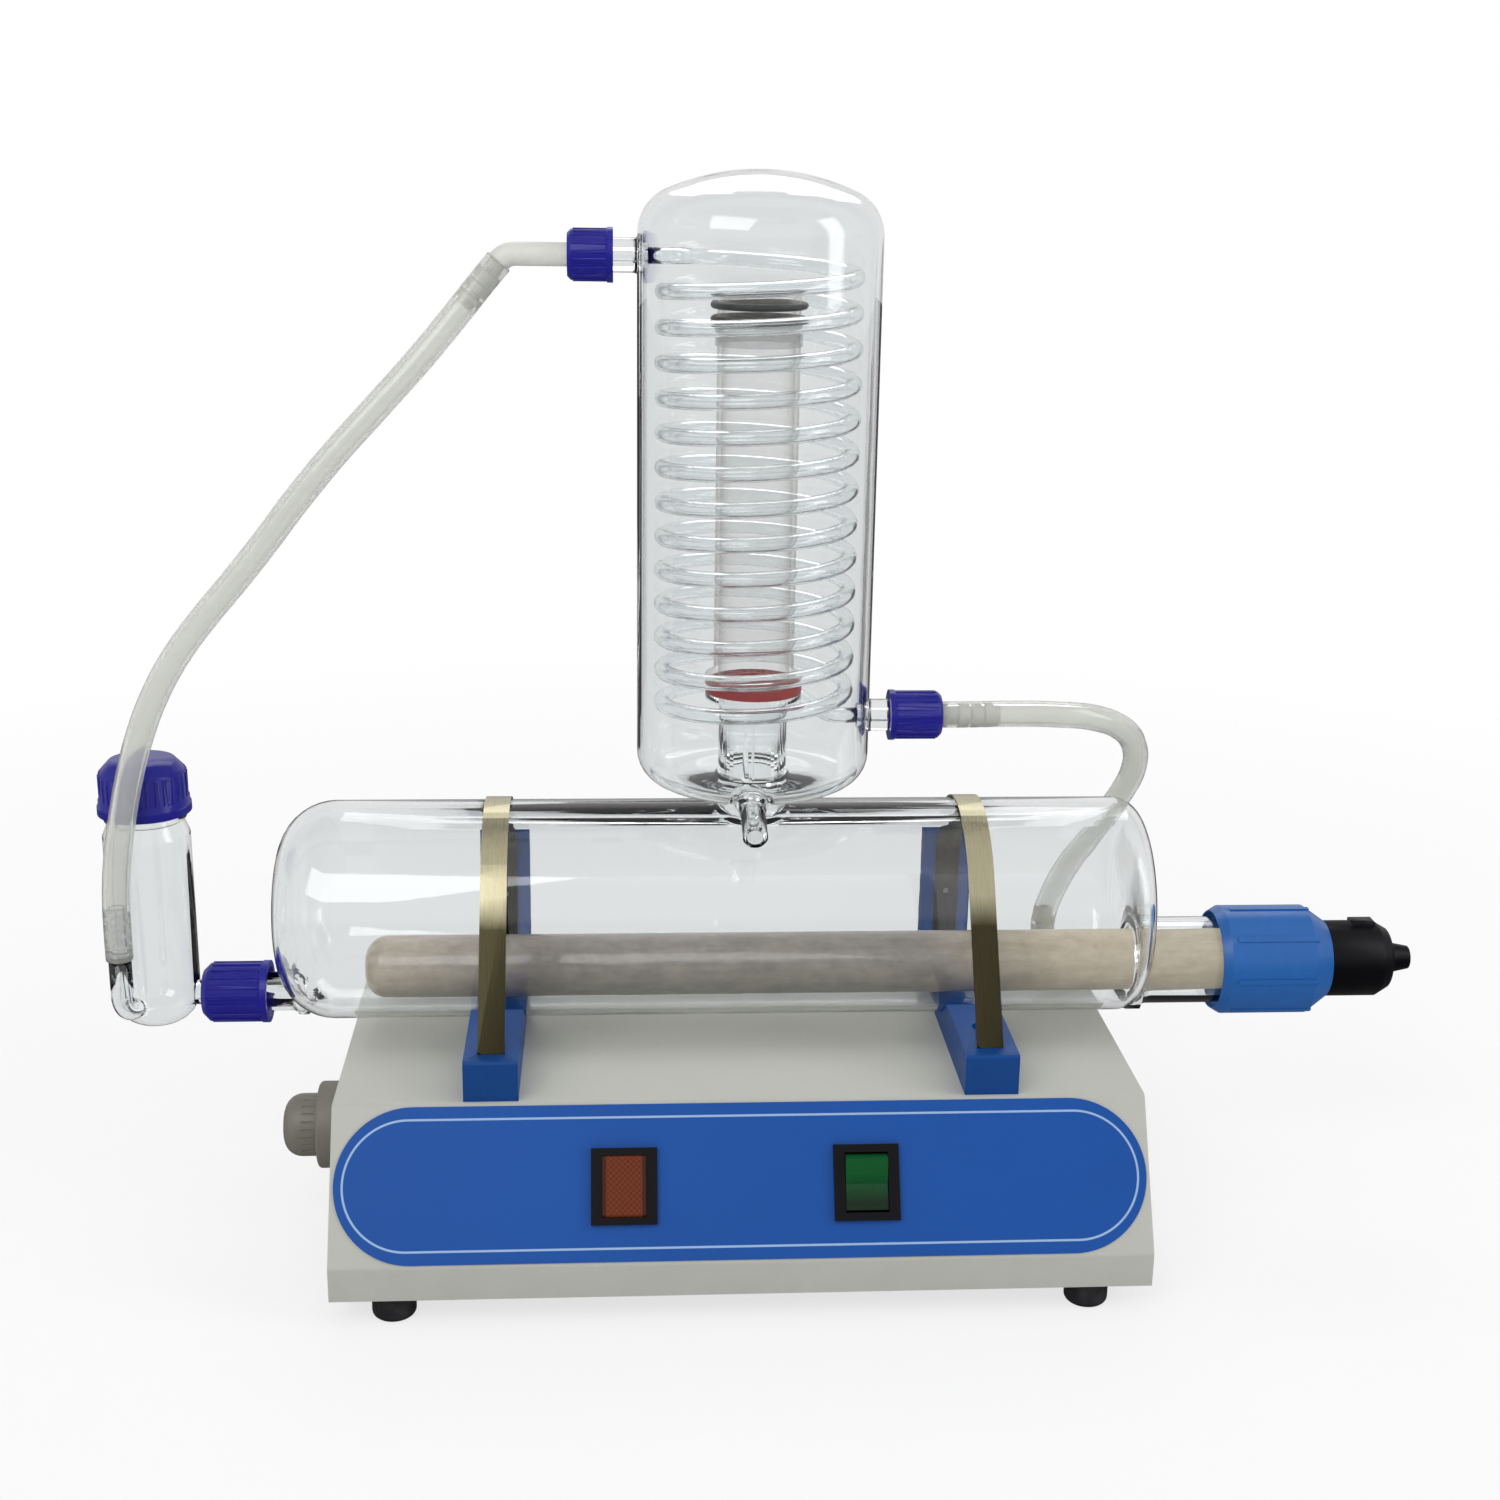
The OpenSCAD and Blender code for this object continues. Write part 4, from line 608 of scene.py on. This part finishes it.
def make_sheath_glass(f):
    """Heater tube: scaled grey-brown where it heats, cleaner towards its ends."""
    x = f.axes()[0]
    start = HEATER_START_X + BENCH.x
    scaled = x.over(start + 0.04, 0.03) * 0.4 + 0.6
    middle = scaled * (1.0 - x.over(start + 0.29, 0.03))
    streaks = f.noise(1.0, 6.0, 0.65, f.mapped(stretch=(70.0, 260.0, 260.0)))
    mottle = f.noise(130.0, 6.0, 0.65)
    patches = (streaks * 0.6 + mottle * 0.6).over(0.6, 0.22)
    hot = f.mix(patches, rgb("#67605a"), rgb("#8f877d"))
    cool = f.mix(patches, rgb("#b0a28b"), rgb("#d6c9b0"))
    return f.principled(
        Base_Color=f.mix(middle, cool, hot),
        Roughness=0.34 + mottle * 0.2,
        Coat_Weight=0.7, Coat_Roughness=0.05,
        Normal=f.bump(streaks + mottle * 0.4, 0.0002, 0.4))


def make_heater_ceramic(f):
    return f.principled(
        Base_Color=f.mix(f.noise(90.0, 5.0), rgb("#cfc6b2"), rgb("#e3dccb")),
        Roughness=0.7 + f.noise(300.0, 4.0) * 0.2,
        Normal=f.bump(f.noise(700.0, 4.0), 0.0001, 0.6))


def make_heater_wire(f):
    turns = f.axes()[0].waves(3100.0)
    return f.principled(
        Base_Color=f.mix(turns * 0.5 + 0.5, rgb("#4f463b"), rgb("#8a7d6c")),
        Metallic=0.7,
        Roughness=0.45 + f.noise(200.0, 4.0) * 0.2,
        Normal=f.bump(turns, 0.0005, 0.8))


def rubber_ring(f, low, high):
    return f.principled(
        Base_Color=f.mix(f.noise(120.0, 5.0), rgb(low), rgb(high)),
        Roughness=0.4 + f.noise(400.0, 3.0) * 0.2,
        Normal=f.bump(f.noise(1300.0, 2.0), 0.00004, 0.6))


def make_red_silicone(f):
    return rubber_ring(f, "#920c12", "#b81d1c")


def make_black_silicone(f):
    return rubber_ring(f, "#060607", "#161618")


def make_hose_clear(f):
    """Milky silicone hose with faint drawing lines and a bloom."""
    look = bpy.context.scene.distiller_hoses
    tone = look.tone[:3]
    return f.principled(
        Base_Color=f.mix(f.noise(26.0, 5.0), toned(tone, 0.96), toned(tone, 1.02)),
        Roughness=0.08 + f.noise(60.0, 3.0) * 0.06,
        IOR=1.41,
        Transmission_Weight=0.8,
        Normal=f.bump(f.noise(45.0, 2.0), 0.00008, 0.2))


# ---------- pieces ----------


def new_piece(name, mesh, body, material_name, replaced, slot_name=None):
    """Links a finished piece, lets it ride and says what it stands for."""
    piece = bpy.data.objects.new(name, mesh)
    bpy.context.scene.collection.objects.link(piece)
    mesh.materials.append(finish(material_name))
    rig.ride(piece, body)
    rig.slot(piece, slot_name or material_name)
    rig.replaces(piece, *replaced)
    return piece


def drawn_mesh(curve):
    """The mesh of a curve, with no object left behind."""
    former = bpy.data.objects.new("former", curve)
    bpy.context.scene.collection.objects.link(former)
    bpy.context.view_layer.update()
    drawn = former.evaluated_get(bpy.context.evaluated_depsgraph_get())
    mesh = bpy.data.meshes.new_from_object(drawn)
    bpy.data.objects.remove(former)
    mesh.materials.clear()
    return mesh


def hollow_piece(name, points, radius, wall, smoothness, material_name, node):
    """A tube with a real bore along the points; gives it back with the line it follows."""
    line = drawn_mesh(tube_curve(name + "_line", points, 0.0, smoothness))
    path = [vertex.co.copy() for vertex in line.vertices]
    mesh = drawn_mesh(tube_curve(name, points, radius, smoothness))
    mesh.shade_smooth()
    piece = new_piece(name, mesh, "still", material_name, [node])
    thickness = piece.modifiers.new("Wall", "SOLIDIFY")
    thickness.thickness = wall
    thickness.offset = -1
    return piece, path


def tube_curve(name, points, radius, smoothness):
    """A round tube, open at its ends, on one smooth spline through the points."""
    curve = bpy.data.curves.new(name, "CURVE")
    curve.dimensions = "3D"
    curve.bevel_depth = radius
    curve.bevel_resolution = 7
    curve.resolution_u = smoothness
    spline = curve.splines.new("BEZIER")
    spline.bezier_points.add(len(points) - 1)
    for knot, point in zip(spline.bezier_points, points):
        knot.co = point
        knot.handle_left_type = knot.handle_right_type = "AUTO"
    return curve


def hose(name, route, node, length):
    """A silicone hose on a route, whose inner points are eased once, declared as a cord."""
    points = [Vector(p) + BENCH for p in route]
    eased = [(a + 2 * b + c) / 4 for a, b, c in zip(points, points[1:], points[2:])]
    points[2:-2] = eased[1:-1]
    wall = bpy.context.scene.distiller_hoses.wall
    piece, path = hollow_piece(name, points, HOSE_DIAMETER / 2, wall, 10, "hose_clear", node)
    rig.cord(piece, exit=points[0], length=length, diameter=HOSE_DIAMETER, far_end="object",
            stiffness="medium", lay="hanging", path=path)


def coil_points(settings):
    """Centre line of the coil: in from the upper port, down the helix, out to the lower port."""
    turn_steps, blend_steps = 40, 14
    radius = settings.coil_radius
    turns = settings.coil_turns - 0.5
    blend = 0.22
    reach = 0.026
    inset = 0.003
    top, bottom = UPPER_PORT_Z - inset, LOWER_PORT_Z + inset
    sweep = (turns - 2 * blend) * 2 * math.pi

    def helix(t):
        angle = math.pi - blend * 2 * math.pi - t * sweep
        height = top + (bottom - top) * t
        return Vector((radius * math.cos(angle), radius * math.sin(angle), height))

    def heading(t):
        return (helix(t + 0.0005) - helix(t - 0.0005)).normalized()

    def bezier(a, b, c, d, t):
        return (1 - t) ** 3 * a + 3 * t * (1 - t) ** 2 * b + 3 * t * t * (1 - t) * c + t ** 3 * d

    face = JACKET_RADIUS - JACKET_WALL - COIL_END_GAP
    start, stop = Vector((-face, 0, UPPER_PORT_Z)), Vector((face, 0, LOWER_PORT_Z))
    run = Vector((0.007, 0, 0))
    arm = Vector((0.015, 0, 0))
    count = int(sweep / (2 * math.pi) * turn_steps)
    points = [start]
    points += [bezier(start + run, start + run + arm, helix(0) - reach * heading(0), helix(0),
                      i / blend_steps)
               for i in range(blend_steps)]
    points += [helix(i / count) for i in range(count)]
    points += [bezier(helix(1), helix(1) + reach * heading(1), stop - run - arm, stop - run,
                      i / blend_steps)
               for i in range(blend_steps + 1)]
    points.append(stop)
    offset = BENCH + Vector((CONDENSER_X, 0, 0))
    return [p + offset for p in points]


# ---------- settings ----------


class DistillerBaseSettings(bpy.types.PropertyGroup):
    """Colours of the painted base and its label."""

    paint: bpy.props.FloatVectorProperty(
        name="Paint", description="Colour of the powder coat", subtype="COLOR", size=4,
        min=0, max=1, default=rgb("#b9bab2"))
    label: bpy.props.FloatVectorProperty(
        name="Label", description="Colour of the film on the sloping panel", subtype="COLOR",
        size=4, min=0, max=1, default=rgb("#1b509f"))
    band: bpy.props.FloatVectorProperty(
        name="Band", description="Colour of the thin line round the label", subtype="COLOR",
        size=4, min=0, max=1, default=rgb("#9db9dc"))
    band_inset: bpy.props.FloatProperty(
        name="Band inset", description="Distance of the line from the label's edge",
        unit="LENGTH", min=0.002, max=0.012, default=0.0055)


class DistillerGlassSettings(bpy.types.PropertyGroup):
    """The glass and the coil inside the condenser."""

    tint: bpy.props.FloatVectorProperty(
        name="Tint", description="Colour of the glass", subtype="COLOR", size=4, min=0, max=1,
        default=(0.965, 0.98, 0.985, 1.0))
    ior: bpy.props.FloatProperty(
        name="IOR", description="Refraction of the glass", min=1.3, max=1.6, default=1.47)
    coil_radius: bpy.props.FloatProperty(
        name="Coil radius", description="From the condenser's axis to the coil's centre line",
        unit="LENGTH", min=0.035, max=0.043, default=0.0415)
    coil_turns: bpy.props.IntProperty(
        name="Coil turns", description="Turns from port to port", min=8, max=16, default=14)
    coil_wall: bpy.props.FloatProperty(
        name="Coil wall", description="Thickness of the coil tube's wall", unit="LENGTH",
        min=0.0006, max=0.0016, default=0.001)


class DistillerHoseSettings(bpy.types.PropertyGroup):
    """The two silicone hoses."""

    tone: bpy.props.FloatVectorProperty(
        name="Tone", description="Colour of the silicone", subtype="COLOR", size=4, min=0, max=1,
        default=rgb("#f7f8f4"))
    wall: bpy.props.FloatProperty(
        name="Wall", description="Thickness of the hose's wall", unit="LENGTH", min=0.001,
        max=0.003, default=0.002)


class DistillerStageSettings(bpy.types.PropertyGroup):
    """Floor, lamps and camera."""

    floor: bpy.props.FloatVectorProperty(
        name="Floor", description="Colour of the floor", subtype="COLOR", size=4, min=0, max=1,
        default=(0.9, 0.9, 0.9, 1.0))
    key_power: bpy.props.FloatProperty(
        name="Key lamp", description="Power of the large lamp over the front", unit="POWER",
        min=1, max=200, default=14)
    fill: bpy.props.FloatProperty(
        name="Fill", description="Strength of the world's light", min=0, max=2, default=0.55)
    room_dim: bpy.props.FloatProperty(
        name="Room dimming", description="How much darker mirrored surfaces see the room",
        min=0, max=1, default=0.88)
    floor_dim: bpy.props.FloatProperty(
        name="Floor dimming", description="How much darker mirrored surfaces see the floor",
        min=0, max=1, default=0.86)
    glass_dim: bpy.props.FloatProperty(
        name="Glass dimming", description="How much darker the backdrop is through glass",
        min=0, max=1, default=0.22)
    lens: bpy.props.FloatProperty(
        name="Lens", description="Focal length on a 36 mm sensor", unit="CAMERA", min=20, max=120,
        default=49.03)


# ---------- operators ----------


class DISTILLER_OT_base(bpy.types.Operator):
    """Paint the base, its plate, feet, screws and label"""

    bl_idname = "distiller.base"
    bl_label = "Base"

    def execute(self, context):
        polish("cream_paint", "base_housing", crease=8)
        dress("bare_steel", "base_plate", "housing_screws", "foot_screws")
        polish("foot_rubber", "foot_front_left", "foot_front_right", "foot_back_left",
               "foot_back_right")
        dress("label_blue", "front_label")
        return {"FINISHED"}


class DISTILLER_OT_panel(bpy.types.Operator):
    """Dress the indicator lamp and the rocker switch"""

    bl_idname = "distiller.panel"
    bl_label = "Lamp and switch"

    def execute(self, context):
        polish("black_plastic", "indicator_body", "switch_body", crease=15)
        polish("lens_amber", "indicator_lens", crease=15)
        polish("rocker_green", "switch_rocker", crease=8)
        dress("brass", "panel_terminals")
        return {"FINISHED"}


class DISTILLER_OT_gland(bpy.types.Operator):
    """Dress the cord gland on the left wall"""

    bl_idname = "distiller.gland"
    bl_label = "Cord gland"

    def execute(self, context):
        polish("gland_grey", "gland_body", "gland_nut", crease=14)
        dress("gland_grey", "gland_locknut")
        polish("black_silicone", "gland_seal")
        return {"FINISHED"}


class DISTILLER_OT_brackets(bpy.types.Operator):
    """Dress the two brackets, their straps and screws"""

    bl_idname = "distiller.brackets"
    bl_label = "Brackets and straps"

    def execute(self, context):
        polish("bracket_blue", "bracket_left", "bracket_right", crease=20)
        polish("strap_steel", "strap_left", "strap_right")
        dress("bare_steel", "bracket_screws", "strap_screws")
        return {"FINISHED"}


class DISTILLER_OT_boiler(bpy.types.Operator):
    """Dress the boiler and the heater inside it"""

    bl_idname = "distiller.boiler"
    bl_label = "Boiler and heater"

    def execute(self, context):
        polish("clear_glass", "boiler_glass")
        polish("sheath_glass", "heater_sheath")
        dress("heater_ceramic", "heater_core")
        dress("heater_wire", "heater_winding")
        dress("black_silicone", "heater_seal")
        polish("nut_blue", "heater_union_nut", crease=14)
        polish("black_plastic", "heater_terminal_cap")
        dress("brass", "heater_terminals")
        return {"FINISHED"}


class DISTILLER_OT_condenser(bpy.types.Operator):
    """Dress the condenser and wind its glass coil"""

    bl_idname = "distiller.condenser"
    bl_label = "Condenser and coil"

    def execute(self, context):
        settings = context.scene.distiller_glass
        polish("clear_glass", "condenser_jacket")
        polish("chimney_wall", "chimney_tube", slot_name="clear_glass")
        polish("red_silicone", "neck_seal")
        polish("black_silicone", "chimney_ring")
        polish("sleeve_wall", "chimney_sleeve", slot_name="sleeve_grey")
        hollow_piece("coil_glass", coil_points(settings), COIL_TUBE_RADIUS, settings.coil_wall, 1,
                     "clear_glass", "condenser_coil")
        return {"FINISHED"}


class DISTILLER_OT_fittings(bpy.types.Operator):
    """Dress the hose caps, nozzles and seals"""

    bl_idname = "distiller.fittings"
    bl_label = "Hose fittings"

    def execute(self, context):
        polish("cap_blue", "upper_hose_cap", "lower_hose_cap", crease=14)
        polish("fitting_white", "upper_hose_nozzle", "lower_hose_nozzle")
        polish("red_silicone", "port_seals")
        return {"FINISHED"}


class DISTILLER_OT_bottle(bpy.types.Operator):
    """Dress the levelling bottle, its cap and its coupling"""

    bl_idname = "distiller.bottle"
    bl_label = "Levelling bottle"

    def execute(self, context):
        polish("clear_glass", "levelling_bottle")
        polish("cap_blue", "bottle_cap", "coupling_nut", crease=14)
        polish("fitting_white", "cap_liner")
        polish("red_silicone", "coupling_seal")
        return {"FINISHED"}


class DISTILLER_OT_plumbing(bpy.types.Operator):
    """Dress the water fittings and what the base holds inside"""

    bl_idname = "distiller.plumbing"
    bl_label = "Water fittings"

    def execute(self, context):
        polish("fitting_cream", "water_outlet")
        dress("fitting_cream", "terminal_block")
        dress("brass", "outlet_locknut", "water_inlet", "inlet_locknut")
        dress("switch_grey", "pressure_switch")
        dress("fitting_white", "inner_water_tube")
        return {"FINISHED"}


class DISTILLER_OT_hoses(bpy.types.Operator):
    """Run the two silicone hoses"""

    bl_idname = "distiller.hoses"
    bl_label = "Hoses"

    def execute(self, context):
        hose("feed_hose_run", FEED_ROUTE, "feed_hose", 0.362)
        hose("cooling_hose_run", COOLING_ROUTE, "cooling_hose", 0.25)
        return {"FINISHED"}


def studio_lamp(name, place, aim, size, power):
    """A soft white rectangular lamp that looks at a point."""
    lamp = bpy.data.lights.new(name, "AREA")
    lamp.shape = "RECTANGLE"
    lamp.size, lamp.size_y = size
    lamp.energy = power
    item = bpy.data.objects.new(name, lamp)
    bpy.context.scene.collection.objects.link(item)
    item.location = place
    item.rotation_euler = (Vector(aim) - Vector(place)).to_track_quat("-Z", "Y").to_euler()


class DISTILLER_OT_stage(bpy.types.Operator):
    """Build the floor, the lamps, the world and the camera"""

    bl_idname = "distiller.stage"
    bl_label = "Stage"

    def execute(self, context):
        settings = context.scene.distiller_stage
        self.lay_floor(context, settings)
        self.light_world(context, settings)
        power = settings.key_power
        studio_lamp("lamp_key", (-0.9, -1.3, 1.5), (0, 0, 0.2), (1.3, 1.0), power)
        studio_lamp("lamp_side", (1.4, -0.5, 0.9), (0, 0, 0.2), (0.5, 1.2), power * 0.45)
        studio_lamp("lamp_back", (0.2, 1.3, 1.4), (0, 0, 0.25), (1.4, 0.6), power * 0.4)
        self.place_camera(context, settings)
        return {"FINISHED"}

    def lay_floor(self, context, settings):
        """White paper, which glass and mirrored surfaces see darker than the camera does."""
        mesh = bpy.data.meshes.new("stage_floor")
        plane = bmesh.new()
        bmesh.ops.create_grid(plane, x_segments=1, y_segments=1, size=6)
        plane.to_mesh(mesh)
        plane.free()
        floor = bpy.data.objects.new("stage_floor", mesh)
        context.scene.collection.objects.link(floor)
        f = Finish("floor_white")
        path = f.node("ShaderNodeLightPath")
        through = f.wire(path, "Is Transmission Ray")
        mirrored = f.wire(path, "Is Glossy Ray") * (1.0 - through)
        seen = f.wire(path, "Is Camera Ray").at_least(through).at_least(mirrored)
        x, y = f.axes()[:2]
        far = ((x * x + y * y) ** 0.5).over(0.75, 0.35)
        paper = f.node("ShaderNodeBsdfDiffuse", None, {
            "Color": f.mix(f.noise(40.0, 3.0), tuple(settings.floor), (0.93, 0.93, 0.93, 1.0))})
        glow = 1.0 - through * settings.glass_dim - mirrored * settings.floor_dim
        white = f.node("ShaderNodeEmission", None, {"Color": WHITE, "Strength": glow})
        blend = (seen * (0.72 + far * 0.28)).at_least(mirrored)
        both = f.node("ShaderNodeMixShader", None,
                      {0: blend, 1: paper.outputs[0], 2: white.outputs[0]})
        f.node("ShaderNodeOutputMaterial", None, {"Surface": both.outputs[0]})
        mesh.materials.append(f.material)
        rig.stage(floor)

    def light_world(self, context, settings):
        """A white backdrop, dimmer in mirrored surfaces except for bright parts, and the fill."""
        world = bpy.data.worlds.new("studio_world")
        context.scene.world = world
        world.use_nodes = True
        tree = world.node_tree
        tree.nodes.clear()
        path = tree.nodes.new("ShaderNodeLightPath")
        camera = Wire(tree, path.outputs["Is Camera Ray"])
        through = Wire(tree, path.outputs["Is Transmission Ray"])
        mirrored = Wire(tree, path.outputs["Is Glossy Ray"]) * (1.0 - through)
        seen = camera.at_least(mirrored).at_least(through)
        split = tree.nodes.new("ShaderNodeSeparateXYZ")
        tree.links.new(tree.nodes.new("ShaderNodeTexCoord").outputs["Generated"], split.inputs[0])
        x, y, z = (Wire(tree, socket) for socket in split.outputs)
        nearer = (0.0 - y).over(0.15, 0.35)
        window = z.over(0.08, 0.07) * (0.3 - y).over(0.0, 0.15)
        behind = y.over(0.55, 0.2) * 0.85
        beside = abs(x).over(0.75, 0.15) * 0.6
        dim = (through * (nearer * 0.12 + settings.glass_dim)).at_least(
            mirrored * settings.room_dim * (1.0 - window.at_least(behind).at_least(beside)))
        backdrop = tree.nodes.new("ShaderNodeBackground")
        plug(tree, backdrop.inputs["Strength"], 1.0 - dim)
        fill = tree.nodes.new("ShaderNodeBackground")
        fill.inputs["Strength"].default_value = settings.fill
        both = tree.nodes.new("ShaderNodeMixShader")
        backdrop.inputs["Color"].default_value = WHITE
        fill.inputs["Color"].default_value = WHITE
        plug(tree, both.inputs[0], seen)
        tree.links.new(fill.outputs[0], both.inputs[1])
        tree.links.new(backdrop.outputs[0], both.inputs[2])
        out = tree.nodes.new("ShaderNodeOutputWorld")
        tree.links.new(both.outputs[0], out.inputs["Surface"])

    def place_camera(self, context, settings):
        """The camera that was fitted to the photo."""
        camera = bpy.data.cameras.new("photo_camera")
        camera.lens = settings.lens
        camera.sensor_width = SENSOR_WIDTH
        camera.clip_start = 0.05
        camera.clip_end = 30
        item = bpy.data.objects.new("photo_camera", camera)
        context.scene.collection.objects.link(item)
        pitch, yaw, roll = (math.radians(angle) for angle in CAMERA_ANGLES)
        forward = Vector((math.sin(yaw) * math.cos(pitch), math.cos(yaw) * math.cos(pitch),
                          -math.sin(pitch)))
        level = forward.cross(Vector((0, 0, 1))).normalized()
        upright = level.cross(forward)
        right = level * math.cos(roll) + upright * math.sin(roll)
        up = upright * math.cos(roll) - level * math.sin(roll)
        turn = Matrix((right, up, -forward)).transposed().to_4x4()
        item.matrix_world = Matrix.Translation(CAMERA_PLACE) @ turn
        context.scene.camera = item
        context.scene.view_settings.view_transform = "Standard"


class DISTILLER_PT_sidebar(bpy.types.Panel):
    """Lists the distiller's pieces"""

    bl_label = "Distiller"
    bl_idname = "DISTILLER_PT_sidebar"
    bl_space_type = "VIEW_3D"
    bl_region_type = "UI"
    bl_category = "Distiller"

    def draw(self, context):
        for operator in OPERATORS:
            self.layout.operator(operator.bl_idname)
        for name in SETTINGS:
            group = getattr(context.scene, name)
            box = self.layout.box()
            for key in group.__annotations__:
                box.prop(group, key)


OPERATORS = (
    DISTILLER_OT_base, DISTILLER_OT_panel, DISTILLER_OT_gland, DISTILLER_OT_brackets,
    DISTILLER_OT_boiler, DISTILLER_OT_condenser, DISTILLER_OT_fittings, DISTILLER_OT_bottle,
    DISTILLER_OT_plumbing, DISTILLER_OT_hoses, DISTILLER_OT_stage,
)
SETTINGS = {
    "distiller_base": DistillerBaseSettings,
    "distiller_glass": DistillerGlassSettings,
    "distiller_hoses": DistillerHoseSettings,
    "distiller_stage": DistillerStageSettings,
}


def register():
    for group in SETTINGS.values():
        bpy.utils.register_class(group)
    for name, group in SETTINGS.items():
        setattr(bpy.types.Scene, name, bpy.props.PointerProperty(type=group))
    for operator in OPERATORS:
        bpy.utils.register_class(operator)
    bpy.utils.register_class(DISTILLER_PT_sidebar)


def unregister():
    bpy.utils.unregister_class(DISTILLER_PT_sidebar)
    for operator in reversed(OPERATORS):
        bpy.utils.unregister_class(operator)
    for name, group in SETTINGS.items():
        delattr(bpy.types.Scene, name)
        bpy.utils.unregister_class(group)


def main():
    register()
    for operator in OPERATORS:
        family, name = operator.bl_idname.split(".")
        getattr(getattr(bpy.ops, family), name)()
    with open("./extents.json", "w") as file:
        json.dump({"cad": CAD_BOX, "visual": [list(corner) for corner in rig.bounds()]}, file)


if __name__ == "__main__":
    main()
